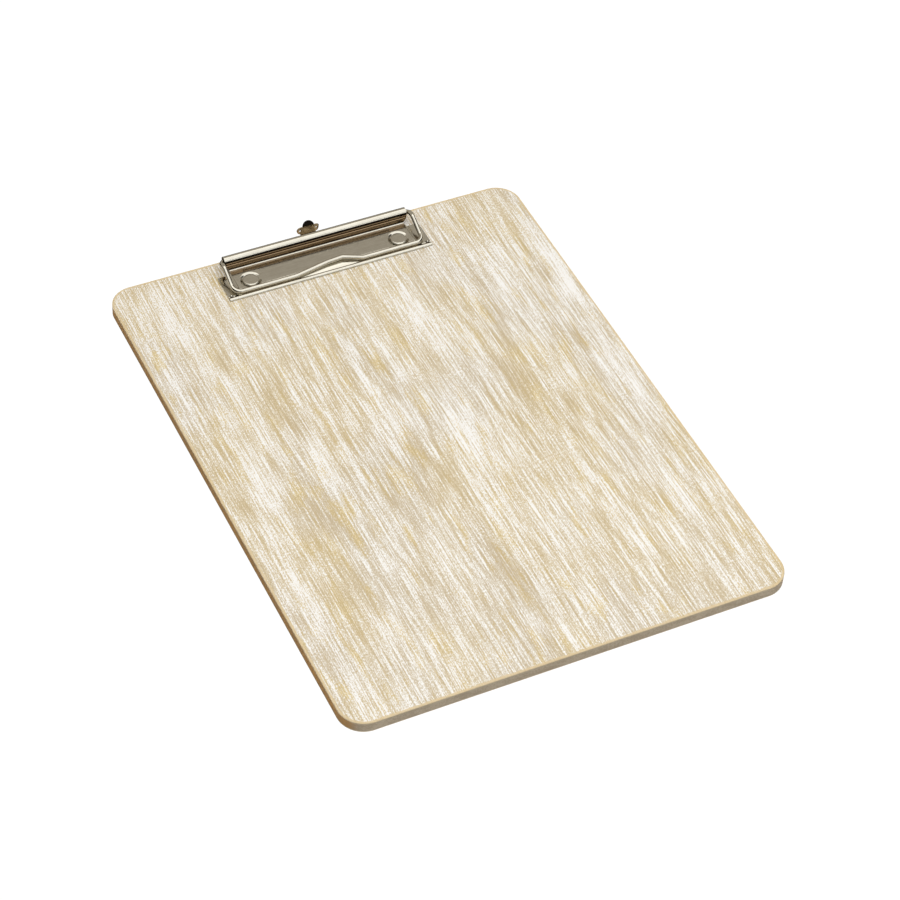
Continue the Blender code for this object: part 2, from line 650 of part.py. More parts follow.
def build_tab():
    """A sheet tab that slides under the barrel: its stop stays behind the lugs, its pull stands up."""
    eye_height = (PULL_NEAR + PULL_FAR) / 2
    outlines = [tab_outline(), arc(0, -TAB_HOLE_SETBACK, TAB_HOLE_RADIUS, 0, 2 * math.pi, 20)[:-1]]
    for side in (-1, 1):
        outlines.append(arc(side * TAB_EYE_OFFSET, eye_height, TAB_EYE_RADIUS, 0, 2 * math.pi, 10)[:-1])
    mesh = flat_curve("hanging_tab", outlines, 0)
    bm = bmesh.new()
    bm.from_mesh(mesh)
    for place, normal in tab_bend_lines():
        everything = bm.verts[:] + bm.edges[:] + bm.faces[:]
        bmesh.ops.bisect_plane(bm, geom=everything, dist=WELD, plane_co=place, plane_no=normal)
    for vert in bm.verts:
        vert.co = fold_tab(vert.co)
    bmesh.ops.recalc_face_normals(bm, faces=bm.faces)
    bm.to_mesh(mesh)
    bm.free()
    tab = add_mesh("hanging_tab", mesh, CLIP, NICKEL)
    tab.location.z = TAB_Z
    solidify = tab.modifiers.new("sheet", "SOLIDIFY")
    solidify.thickness = SHEET
    solidify.offset = 0


# ------------------------------------------------------------------ assembly
clear_scene()
PARTS = new_collection("clipboard")
CUTTERS = new_collection("cutters")
CLIP = empty("clip_origin", None, (CLIP_SHIFT, BOARD_LENGTH / 2, BOARD_THICKNESS))
AXIS = empty("bail_axis", CLIP, (0, -BARREL_SETBACK, BARREL_HEIGHT))

build_board()
build_base_plate()
for side_name, rivet_x in zip(("left", "right"), RIVET_PLACES):
    build_rivet(side_name, rivet_x)
build_bail()
build_spring("left", -1)
build_spring("right", 1)
build_tab()
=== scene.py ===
import json
import logging
import math
from dataclasses import dataclass
from enum import Enum
from typing import Any, Callable, Iterable, Optional, Sequence

import bmesh
import bpy
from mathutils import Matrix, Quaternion, Vector


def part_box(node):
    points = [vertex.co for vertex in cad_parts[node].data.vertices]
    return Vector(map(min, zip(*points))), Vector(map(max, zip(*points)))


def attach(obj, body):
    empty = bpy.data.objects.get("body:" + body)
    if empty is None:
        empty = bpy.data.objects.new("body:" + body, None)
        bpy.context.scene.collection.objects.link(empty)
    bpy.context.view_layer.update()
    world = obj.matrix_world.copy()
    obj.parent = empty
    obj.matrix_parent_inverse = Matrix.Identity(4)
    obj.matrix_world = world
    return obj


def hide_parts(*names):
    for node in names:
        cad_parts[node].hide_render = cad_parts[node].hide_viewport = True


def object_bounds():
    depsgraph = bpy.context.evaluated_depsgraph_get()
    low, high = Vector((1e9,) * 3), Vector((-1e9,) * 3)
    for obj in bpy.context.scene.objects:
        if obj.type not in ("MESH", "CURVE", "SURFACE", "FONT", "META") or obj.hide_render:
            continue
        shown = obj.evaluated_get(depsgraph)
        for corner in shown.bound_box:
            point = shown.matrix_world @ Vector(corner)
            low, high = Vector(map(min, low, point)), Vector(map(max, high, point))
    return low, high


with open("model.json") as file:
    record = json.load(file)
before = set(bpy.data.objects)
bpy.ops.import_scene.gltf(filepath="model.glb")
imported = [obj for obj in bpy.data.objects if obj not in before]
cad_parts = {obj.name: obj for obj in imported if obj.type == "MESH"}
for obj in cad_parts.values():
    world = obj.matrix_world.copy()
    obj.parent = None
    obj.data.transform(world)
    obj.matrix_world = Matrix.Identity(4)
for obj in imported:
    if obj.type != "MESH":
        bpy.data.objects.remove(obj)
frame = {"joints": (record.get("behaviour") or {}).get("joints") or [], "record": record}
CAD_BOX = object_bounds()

# Looks of a whitewashed clipboard: board, stamped base plate, rivets, sprung wire bail and hanging tab.
#
# Metres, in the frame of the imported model: the origin is the centre of the board's back face, +Z points out
# of the writing face and +Y towards the clip end. Clip pieces are laid out from a datum that the frame gives:
# x from the clip's centre line, setback from the board's end edge, height above the writing face.

LOG = logging.getLogger("clipboard")
MM = 0.001
PER_METRE = 1000.0
QUARTER = math.pi / 2
TOUCH = 1e-7  # points nearer than this are one point


class Side(Enum):
    """The two ends of the clip, seen by someone reading the sheet."""

    LEFT = -1
    RIGHT = 1

    @property
    def label(self) -> str:
        """Lower-case name, as it stands in piece names."""
        return self.name.lower()


class Slot(Enum):
    """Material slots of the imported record."""

    VENEER = "whitewashed_veneer"
    FIBREBOARD = "fibreboard"
    PLATE = "nickel_plate"
    WIRE = "nickel_wire"
    SPRING = "spring_steel"


# ------------------------------------------------------------------ frame and mesh helpers
@dataclass(frozen=True)
class ClipDatum:
    """Where the clip stands on the board."""

    centre_x: float
    end_y: float
    face_z: float
    hinge: Vector

    @classmethod
    def from_frame(cls) -> "ClipDatum":
        """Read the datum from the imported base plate, face veneer and hinge."""
        plate_low, plate_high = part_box("base_plate")
        _, face_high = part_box("face_veneer")
        hinge = next(joint for joint in frame["joints"] if joint["name"] == "bail_hinge")
        centre = (plate_low.x + plate_high.x) / 2
        return cls(centre, face_high.y, face_high.z, Vector(hinge["pos_m"]))

    def at(self, x: float, setback: float, height: float) -> Vector:
        """Point of the frame for a place in the clip's own measures."""
        return Vector((self.centre_x + x, self.end_y - setback, self.face_z + height))


def body_of_node(node: str) -> str:
    """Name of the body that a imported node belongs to."""
    bodies = frame["record"]["behaviour"]["bodies"]
    return next(body for body, members in bodies.items() if node in members)


def add_piece(name: str, bm: bmesh.types.BMesh, material: bpy.types.Material) -> bpy.types.Object:
    """Turn a bmesh into a smooth-shaded object at the origin.

    Args:
        name: name of the piece.
        bm: its finished mesh, in the row frame. It is freed.
        material: the finish it gets.

    Returns:
        The new object, linked to the scene.
    """
    mesh = bpy.data.meshes.new(name)
    bm.to_mesh(mesh)
    bm.free()
    mesh.shade_smooth()
    mesh.materials.append(material)
    piece = bpy.data.objects.new(name, mesh)
    bpy.context.scene.collection.objects.link(piece)
    return piece


def stand_for(piece: bpy.types.Object, node: str) -> None:
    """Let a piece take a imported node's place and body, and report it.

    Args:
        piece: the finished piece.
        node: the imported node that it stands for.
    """
    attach(piece, body_of_node(node))
    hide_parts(node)
    LOG.info("%s stands for %s, %d faces", piece.name, node, len(piece.data.polygons))


def crisp(piece: bpy.types.Object, angle: float = math.radians(32)) -> None:
    """Keep the edges that turn by more than an angle sharp."""
    piece.data.set_sharp_from_angle(angle=angle)


def ease_edges(piece: bpy.types.Object, width: float, segments: int = 2) -> None:
    """Round a piece's sharp edges off.

    Args:
        piece: the piece.
        width: width of the rounding.
        segments: its number of facets.
    """
    bevel = piece.modifiers.new("eased_edges", "BEVEL")
    bevel.limit_method = "ANGLE"
    bevel.angle_limit = math.radians(50)
    bevel.width = width
    bevel.segments = segments
    bevel.use_clamp_overlap = True
    bevel.harden_normals = True


def thicken(piece: bpy.types.Object, thickness: float) -> None:
    """Give a mid-surface the thickness of its sheet."""
    sheet = piece.modifiers.new("sheet_thickness", "SOLIDIFY")
    sheet.thickness = thickness
    sheet.offset = 0
    sheet.use_even_offset = True


def verts_of(geometry: Iterable[Any]) -> list[bmesh.types.BMVert]:
    """The vertices in a bmesh operator's result."""
    return [item for item in geometry if isinstance(item, bmesh.types.BMVert)]


def edges_of(geometry: Iterable[Any]) -> list[bmesh.types.BMEdge]:
    """The edges in a bmesh operator's result."""
    return [item for item in geometry if isinstance(item, bmesh.types.BMEdge)]


def extruded(bm: bmesh.types.BMesh, loop: Sequence[bmesh.types.BMEdge]) -> tuple[list, list]:
    """Extrude a loop of edges, and return the new loop's edges and vertices."""
    made = bmesh.ops.extrude_edge_only(bm, edges=loop)["geom"]
    fresh = verts_of(made)
    ends = set(fresh)
    return [edge for edge in edges_of(made) if set(edge.verts) <= ends], fresh


def clamp(value: float) -> float:
    """A value held between 0 and 1."""
    return max(0.0, min(1.0, value))


def softened(step: Callable[[float], float], place: float, reach: float, samples: int = 7) -> float:
    """Mean of a function over a short stretch, which rounds its corners.

    Args:
        step: the function with sharp corners.
        place: where to read it.
        reach: half the stretch.
        samples: how many readings.

    Returns:
        The mean reading.
    """
    offsets = (reach * (2 * index / (samples - 1) - 1) for index in range(samples))
    return sum(step(place + offset) for offset in offsets) / samples


def arc(centre: Sequence[float], radius: float, start: float, end: float, steps: int) -> list[tuple]:
    """Points of a plane arc, both ends included."""
    angles = (start + (end - start) * step / steps for step in range(steps + 1))
    return [(centre[0] + radius * math.cos(a), centre[1] + radius * math.sin(a)) for a in angles]


def rounded_path(corners: Sequence[tuple[Sequence[float], float]], steps: int) -> list[Vector]:
    """Points of a bent line.

    Args:
        corners: each corner with its bend radius. The first and last are the ends.
        steps: how many chords make a bend.

    Returns:
        The points, each bend as an arc.
    """
    points = [Vector(corners[0][0])]
    for (before, _), (corner, radius), (after, _) in zip(corners, corners[1:], corners[2:]):
        corner = Vector(corner)
        back = (Vector(before) - corner).normalized()
        ahead = (Vector(after) - corner).normalized()
        half = back.angle(ahead) / 2
        centre = corner + (back + ahead).normalized() * radius / math.sin(half)
        first = corner + back * radius / math.tan(half)
        last = corner + ahead * radius / math.tan(half)
        turn = (first - centre).rotation_difference(last - centre)
        for step in range(steps + 1):
            part = Quaternion(turn.axis, turn.angle * step / steps)
            points.append(centre + part @ (first - centre))
    points.append(Vector(corners[-1][0]))
    return points


def spun(profile: Sequence[tuple[float, float]], place: Vector, steps: int = 64) -> bmesh.types.BMesh:
    """Turn a profile about an upright axis.

    Args:
        profile: (radius, height) points from the axis at the top to the axis at the bottom, or a closed line.
        place: the point on the axis from which heights count.
        steps: chords in the full turn.

    Returns:
        A closed bmesh.
    """
    bm = bmesh.new()
    verts = [bm.verts.new((radius, 0, height)) for radius, height in profile]
    edges = [bm.edges.new(pair) for pair in zip(verts, verts[1:])]
    bmesh.ops.spin(
        bm, geom=verts + edges, cent=(0, 0, 0), axis=(0, 0, 1), dvec=(0, 0, 0),
        angle=2 * math.pi, steps=steps, use_merge=True, use_duplicate=False,
    )
    bmesh.ops.remove_doubles(bm, verts=bm.verts, dist=TOUCH * 10)
    bmesh.ops.recalc_face_normals(bm, faces=bm.faces)
    bmesh.ops.translate(bm, vec=place, verts=bm.verts)
    return bm


# ------------------------------------------------------------------ node helpers and finishes
def linear(hex_colour: str) -> tuple[float, float, float, float]:
    """An sRGB hex colour as linear RGBA."""
    levels = [int(hex_colour[start:start + 2], 16) / 255 for start in (1, 3, 5)]
    made = [level / 12.92 if level <= 0.04045 else ((level + 0.055) / 1.055) ** 2.4 for level in levels]
    return (*made, 1.0)


def add_node(tree: bpy.types.NodeTree, kind: str, inputs: Optional[dict] = None, **settings: Any) -> Any:
    """Add a node with its settings and links.

    Args:
        tree: the material's node tree.
        kind: the node's type name, without the ShaderNode in front.
        inputs: for each input name or index, a constant or the socket that feeds it.
        settings: the node's own properties.

    Returns:
        The new node.
    """
    node = tree.nodes.new("ShaderNode" + kind)
    for name, value in settings.items():
        setattr(node, name, value)
    for key, value in (inputs or {}).items():
        if isinstance(value, bpy.types.NodeSocket):
            tree.links.new(value, node.inputs[key])
        else:
            node.inputs[key].default_value = value
    return node


def new_material(name: str) -> tuple[bpy.types.Material, Any, Any]:
    """Make an empty material.

    Args:
        name: its name.

    Returns:
        The material, its node tree, and the object's coordinates in millimetres.
    """
    material = bpy.data.materials.new(name)
    material.use_nodes = True
    tree = material.node_tree
    tree.nodes.clear()
    place = add_node(tree, "TexCoord").outputs["Object"]
    scaled = add_node(tree, "VectorMath", {0: place, 1: (PER_METRE,) * 3}, operation="MULTIPLY")
    return material, tree, scaled.outputs[0]


def finish_material(tree: bpy.types.NodeTree, inputs: dict) -> None:
    """Close a material with one Principled shader that has these inputs."""
    shader = add_node(tree, "BsdfPrincipled", inputs)
    add_node(tree, "OutputMaterial", {"Surface": shader.outputs[0]})


def streaks(tree: Any, place: Any, size: Sequence[float], detail: float = 2.0, rough: float = 0.5) -> Any:
    """Noise whose marks have a real size.

    Args:
        tree: the node tree.
        place: coordinates in millimetres.
        size: length of a mark along x, y and z, in millimetres.
        detail: octaves of finer noise.
        rough: weight of each finer octave.

    Returns:
        The noise value's socket.
    """
    scale = [1 / length for length in size]
    stretched = add_node(tree, "VectorMath", {0: place, 1: scale}, operation="MULTIPLY")
    noise = add_node(tree, "TexNoise", {"Vector": stretched.outputs[0], "Scale": 1.0, "Detail": detail,
                                        "Roughness": rough})
    return noise.outputs["Fac"]


def weighted_sum(tree: Any, terms: Sequence[tuple[Any, float]], start: float) -> Any:
    """Sum of sockets, each times its weight, on top of a start value."""
    total: Any = start
    for socket, weight in terms:
        total = add_node(tree, "Math", {0: socket, 1: weight, 2: total}, operation="MULTIPLY_ADD").outputs[0]
    return total


def ranged(tree: Any, value: Any, low: float, high: float, start: float = 0.0, end: float = 1.0) -> Any:
    """Value between low and high as a smooth, clamped run from start to end."""
    node = add_node(tree, "MapRange", {"Value": value, "From Min": low, "From Max": high, "To Min": start,
                                       "To Max": end}, interpolation_type="SMOOTHSTEP")
    return node.outputs[0]


def blended(tree: Any, factor: Any, first: Any, second: Any) -> Any:
    """Colour between two, each a linear RGBA value or a socket."""
    return add_node(tree, "Mix", {0: factor, 6: first, 7: second}, data_type="RGBA").outputs[2]


@dataclass(frozen=True)
class WashLap:
    """One broad lap of the brush, in millimetres: a patch with more paint, or less, long along the grain."""

    x: float
    y: float
    half_width: float
    half_length: float
    amount: float


@dataclass(frozen=True)
class WhitewashedOak:
    """Open-pored oak veneer, brushed with thin white paint and rubbed back along the grain.

    The paint stays in broad laps and thin streaks, the bare wood shows yellow between them and where hands
    and sanding have worn the edges, and the pores are fine brown dashes. It is matt.
    """

    name: str = "whitewashed_oak_veneer"
    greyed: str = "#D6CAB4"
    tanned: str = "#D8C8A6"
    rubbed: str = "#DFCC9C"
    painted: str = "#FAF8F4"
    pore: str = "#BCA57C"
    worn_edge: str = "#DDC79C"
    glue_line: str = "#A79F90"
    drift: tuple[float, ...] = (70.0, 150.0, 70.0)
    lap_size: tuple[float, ...] = (9.0, 70.0, 30.0)
    brush_size: tuple[float, ...] = (2.6, 50.0, 12.0)
    streak_size: tuple[float, ...] = (1.2, 40.0, 6.0)
    line_size: tuple[float, ...] = (0.6, 20.0, 3.0)
    grit_size: tuple[float, ...] = (0.5, 1.1, 0.6)
    warm_size: tuple[float, ...] = (45.0, 90.0, 60.0)
    rub_size: tuple[float, ...] = (7.0, 22.0, 20.0)
    drift_reach: float = 2.0
    paint_weights: tuple[float, ...] = (0.7, 1.2, 1.2, 2.2, 2.6)
    paint_start: float = -4.09
    tanned_range: tuple[float, float] = (0.38, 0.6)
    rubbed_range: tuple[float, float] = (0.62, 0.78)
    pore_range: tuple[float, float, float, float] = (-0.3, -0.8, 0.0, 0.6)
    painted_range: tuple[float, float] = (-0.34, 0.46)
    roughness_range: tuple[float, float, float, float] = (-0.5, 0.8, 0.62, 0.78)
    wear_range: tuple[float, float, float, float] = (0.42, 0.66, 0.0, 0.85)
    fray_range: tuple[float, float] = (1.35, 0.25)
    lap_strength: float = 1.4
    laps: tuple[WashLap, ...] = (
        WashLap(-96, 0, 7, 30, 0.30), WashLap(-63, -2, 3.5, 25, 0.30), WashLap(-50, -4, 3, 18, 0.25),
        WashLap(-18, 45, 4, 38, 0.25), WashLap(15, -5, 12, 28, 0.28), WashLap(28, 85, 10, 40, 0.26),
        WashLap(42, 53, 3, 20, 0.25), WashLap(85, 52, 5, 14, 0.25), WashLap(114, 85, 4, 45, 0.3),
        WashLap(110, 2, 6, 35, 0.25), WashLap(31, -80, 4, 25, 0.22), WashLap(62, -90, 7, 30, 0.22),
        WashLap(96, -88, 7, 28, 0.25), WashLap(-29, -82, 3.5, 22, 0.22), WashLap(-107, -85, 5, 30, 0.25),
        WashLap(-90, 125, 28, 30, 0.14), WashLap(-68, 48, 10, 22, -0.22), WashLap(-82, -37, 14, 24, -0.26),
        WashLap(-22, -30, 22, 30, -0.22), WashLap(-10, 53, 6, 20, -0.2), WashLap(57, 26, 12, 28, -0.24),
        WashLap(97, 35, 7, 15, -0.2), WashLap(-88, -90, 15, 25, -0.2), WashLap(-10, -100, 10, 25, -0.22),
    )

    def material(self) -> bpy.types.Material:
        """Build the material. Its pattern lies along the board's length."""
        material, tree, place = new_material(self.name)
        wander = streaks(tree, place, self.drift, detail=1.0)
        shift = weighted_sum(tree, [(wander, 2 * self.drift_reach)], -self.drift_reach)
        sideways = add_node(tree, "CombineXYZ", {"X": shift}).outputs[0]
        grain = add_node(tree, "VectorMath", {0: place, 1: sideways}).outputs[0]
        lap = streaks(tree, grain, self.lap_size, detail=1.5)
        brush = streaks(tree, grain, self.brush_size)
        streak = streaks(tree, grain, self.streak_size)
        line = streaks(tree, grain, self.line_size, detail=1.0)
        grit = streaks(tree, grain, self.grit_size, detail=1.0, rough=0.6)
        marks = zip((lap, brush, streak, line, grit), self.paint_weights)
        paint = weighted_sum(tree, list(marks), self.paint_start)
        paint = self.add_laps(tree, grain, brush, paint)
        warm = streaks(tree, place, self.warm_size, detail=1.0)
        tan = ranged(tree, warm, *self.tanned_range)
        wood = blended(tree, tan, linear(self.greyed), linear(self.tanned))
        rub = weighted_sum(tree, [(streaks(tree, grain, self.rub_size), 1.0), (paint, -0.25)], 0.0)
        wood = blended(tree, ranged(tree, rub, *self.rubbed_range), wood, linear(self.rubbed))
        wood = blended(tree, ranged(tree, paint, *self.pore_range), wood, linear(self.pore))
        colour = blended(tree, ranged(tree, paint, *self.painted_range), wood, linear(self.painted))
        colour = self.wear_edges(tree, place, grit, colour)
        height = weighted_sum(tree, [(line, 0.7), (grit, 0.6)], 0.0)
        bump = add_node(tree, "Bump", {"Strength": 0.5, "Distance": 0.00015, "Height": height})
        rough = ranged(tree, paint, *self.roughness_range)
        finish_material(tree, {"Base Color": colour, "Roughness": rough, "Normal": bump.outputs[0],
                               "IOR": 1.45, "Specular IOR Level": 0.35})
        return material

    def add_laps(self, tree: Any, grain: Any, brush: Any, paint: Any) -> Any:
        """Add the broad laps of the brush, their outlines frayed by the brush marks.

        Args:
            tree: the node tree.
            grain: coordinates along the grain, in millimetres.
            brush: the brush-mark noise.
            paint: the amount of paint so far.

        Returns:
            The new amount of paint.
        """
        for lap in self.laps:
            scale = (1 / lap.half_width, 1 / lap.half_length, 0.0)
            centre = (-lap.x / lap.half_width, -lap.y / lap.half_length, 0.0)
            local = add_node(tree, "VectorMath", {0: grain, 1: scale, 2: centre}, operation="MULTIPLY_ADD")
            reach = add_node(tree, "VectorMath", {0: local.outputs[0]}, operation="LENGTH").outputs["Value"]
            frayed = weighted_sum(tree, [(brush, 1.6), (reach, 1.0)], -0.8)
            inside = ranged(tree, frayed, *self.fray_range)
            paint = weighted_sum(tree, [(inside, lap.amount * self.lap_strength)], paint)
        return paint

    def wear_edges(self, tree: Any, place: Any, grit: Any, colour: Any) -> Any:
        """Bare the wood along the rims, and leave the veneer's cut edge grey.

        Args:
            tree: the node tree.
            place: coordinates in millimetres.
            grit: the paint's grit noise.
            colour: the colour of the faces.

        Returns:
            The colour with worn rims.
        """
        rim = add_node(tree, "Attribute", attribute_name="rim").outputs["Fac"]
        rubs = streaks(tree, place, (5.0, 5.0, 5.0), detail=3.0, rough=0.65)
        wear = weighted_sum(tree, [(rim, 1.0), (rubs, 0.9), (grit, 0.35)], -0.62)
        colour = blended(tree, ranged(tree, wear, *self.wear_range), colour, linear(self.worn_edge))
        cut = add_node(tree, "Attribute", attribute_name="cut_edge").outputs["Fac"]
        return blended(tree, cut, colour, linear(self.glue_line))


@dataclass(frozen=True)
class SandedFibreboard:
    """Fine fibreboard, sawn and sanded: greyish white where its cut edge faces away from the clip, honey
    brown elsewhere.

    The cut shows as a fine even grain of fibres with no direction, and it is quite matt.
    """

    name: str = "sanded_fibreboard"
    bare: str = "#B98F58"
    stained: str = "#B9AC98"
    dark_fibre: str = "#8C7C66"
    fibre_size: tuple[float, ...] = (0.9, 0.9, 0.7)
    cloud_size: tuple[float, ...] = (9.0, 9.0, 4.0)
    stain_edge: tuple[float, float] = (-0.55, -0.9)

    def material(self) -> bpy.types.Material:
        """Build the material. The greyish white follows which way the cut edge faces."""
        material, tree, place = new_material(self.name)
        facing = add_node(tree, "NewGeometry").outputs["Normal"]
        along = add_node(tree, "SeparateXYZ", {0: facing}).outputs["Y"]
        # greyish white on edges that face away from the clip, honey brown on the other edges
        end_grey_share = ranged(tree, along, self.stain_edge[0], self.stain_edge[1])
        cloud = streaks(tree, place, self.cloud_size)
        fibre = streaks(tree, place, self.fibre_size, detail=3.0, rough=0.6)
        colour = blended(tree, end_grey_share, linear(self.bare), linear(self.stained))
        fleck = weighted_sum(tree, [(fibre, 1.0), (cloud, 0.6)], -0.3)
        colour = blended(tree, ranged(tree, fleck, 0.62, 0.38, 0.0, 0.42), colour, linear(self.dark_fibre))
        bump = add_node(tree, "Bump", {"Strength": 0.4, "Distance": 0.00015, "Height": fibre})
        finish_material(tree, {"Base Color": colour, "Roughness": 0.85, "Normal": bump.outputs[0],
                               "IOR": 1.45, "Specular IOR Level": 0.25})
        return material


@dataclass(frozen=True)
class ShadeBand:
    """Dark shade laid over the nickel inside one slab of a piece, in millimetres.

    It stands in for a dark reflection that the shader and the lights don't give there. It isn't a stain that
    the object is known to have, and it stays in place when the view changes, as a reflection wouldn't.
    """

    along: tuple[float, float]
    up: tuple[float, float]
    colour: str
    soft: float = 0.35

    @staticmethod
    def on(
        datum: ClipDatum, setbacks: tuple[float, float], heights: tuple[float, float], colour: str
    ) -> "ShadeBand":
        """Slab between two setbacks and two heights, both in millimetres.

        Args:
            datum: the clip's datum.
            setbacks: the nearest and the farthest setback from the board's end edge.
            heights: the lowest and the highest height above the writing face.
            colour: the shade's colour.

        Returns:
            The band, placed in the row frame.
        """
        end, face = datum.end_y * PER_METRE, datum.face_z * PER_METRE
        return ShadeBand(
            (end - setbacks[1], end - setbacks[0]), (face + heights[0], face + heights[1]), colour
        )

    def mask(self, tree: Any, along: Any, up: Any) -> Any:
        """How much shade there is at a point.

        Args:
            tree: the node tree.
            along: the point's place along the board, in millimetres.
            up: its height, in millimetres.

        Returns:
            A socket that gives 0 outside the slab and 1 inside it.
        """
        edges = [
            ranged(tree, value, place - way * self.soft / 2, place + way * self.soft / 2)
            for value, span in ((along, self.along), (up, self.up))
            for place, way in zip(span, (1, -1))
        ]
        total = edges[0]
        for edge in edges[1:]:
            total = add_node(tree, "Math", {0: total, 1: edge}, operation="MULTIPLY").outputs[0]
        return total


@dataclass(frozen=True)
class BrightNickel:
    """Bright nickel plate on steel, rolled sheet or drawn wire.

    A warm white mirror, faintly dulled along the direction in which the steel was rolled or drawn, with
    soft clouds where the plating is thinner and fine hair scratches. Bands of shade can be laid over it.
    """

    name: str
    colour: str = "#D8D4C7"
    dull_colour: str = "#CDC8BA"
    roughness: float = 0.12
    roughness_spread: float = 0.06
    draw_size: tuple[float, ...] = (26.0, 0.35, 0.35)
    cloud_size: tuple[float, ...] = (7.0, 5.0, 5.0)
    scratch_strength: float = 0.04
    scratch_depth: float = 0.00002
    bands: tuple[ShadeBand, ...] = ()

    def material(self) -> bpy.types.Material:
        """Build the material."""
        material, tree, place = new_material(self.name)
        draw = streaks(tree, place, self.draw_size, detail=2.0)
        cloud = streaks(tree, place, self.cloud_size, detail=3.0, rough=0.6)
        mix = weighted_sum(tree, [(draw, 0.5), (cloud, 0.5)], 0.0)
        dull = ranged(tree, mix, 0.35, 0.65)
        colour = blended(tree, dull, linear(self.colour), linear(self.dull_colour))
        apart = add_node(tree, "SeparateXYZ", {0: place})
        for band in self.bands:
            amount = band.mask(tree, apart.outputs["Y"], apart.outputs["Z"])
            colour = blended(tree, amount, colour, linear(band.colour))
        rough = ranged(tree, mix, 0.3, 0.7, self.roughness, self.roughness + self.roughness_spread)
        scratch = {"Strength": self.scratch_strength, "Distance": self.scratch_depth, "Height": draw}
        bump = add_node(tree, "Bump", scratch)
        finish_material(tree, {"Base Color": colour, "Metallic": 1.0, "Roughness": rough,
                               "Normal": bump.outputs[0]})
        return material


@dataclass(frozen=True)
class SeamlessPaper:
    """White seamless backdrop paper: a plain white glow to look at, dark where metal mirrors it."""

    name: str = "seamless_paper"
    colour: str = "#F4F2EE"
    mirrored: str = "#3A342E"
    glow: float = 1.05

    def material(self) -> bpy.types.Material:
        """Build the material: plain white to look at, pale and matt to the light around it."""
        material, tree, place = new_material(self.name)
        tooth = streaks(tree, place, (1.2, 1.2, 1.2), detail=3.0)
        colour = blended(tree, ranged(tree, tooth, 0.3, 0.7), linear(self.colour), linear("#F8F7F4"))
        paper = add_node(tree, "BsdfDiffuse", {"Color": colour}).outputs[0]
        bright = add_node(tree, "Emission", {"Color": linear("#FFFFFF"), "Strength": self.glow}).outputs[0]
        shade = add_node(tree, "Emission", {"Color": linear(self.mirrored), "Strength": 1.0}).outputs[0]
        path = add_node(tree, "LightPath")
        glossy, seen = path.outputs["Is Glossy Ray"], path.outputs["Is Camera Ray"]
        paper = add_node(tree, "MixShader", {0: glossy, 1: paper, 2: shade}).outputs[0]
        surface = add_node(tree, "MixShader", {0: seen, 1: paper, 2: bright}).outputs[0]
        add_node(tree, "OutputMaterial", {"Surface": surface})
        return material


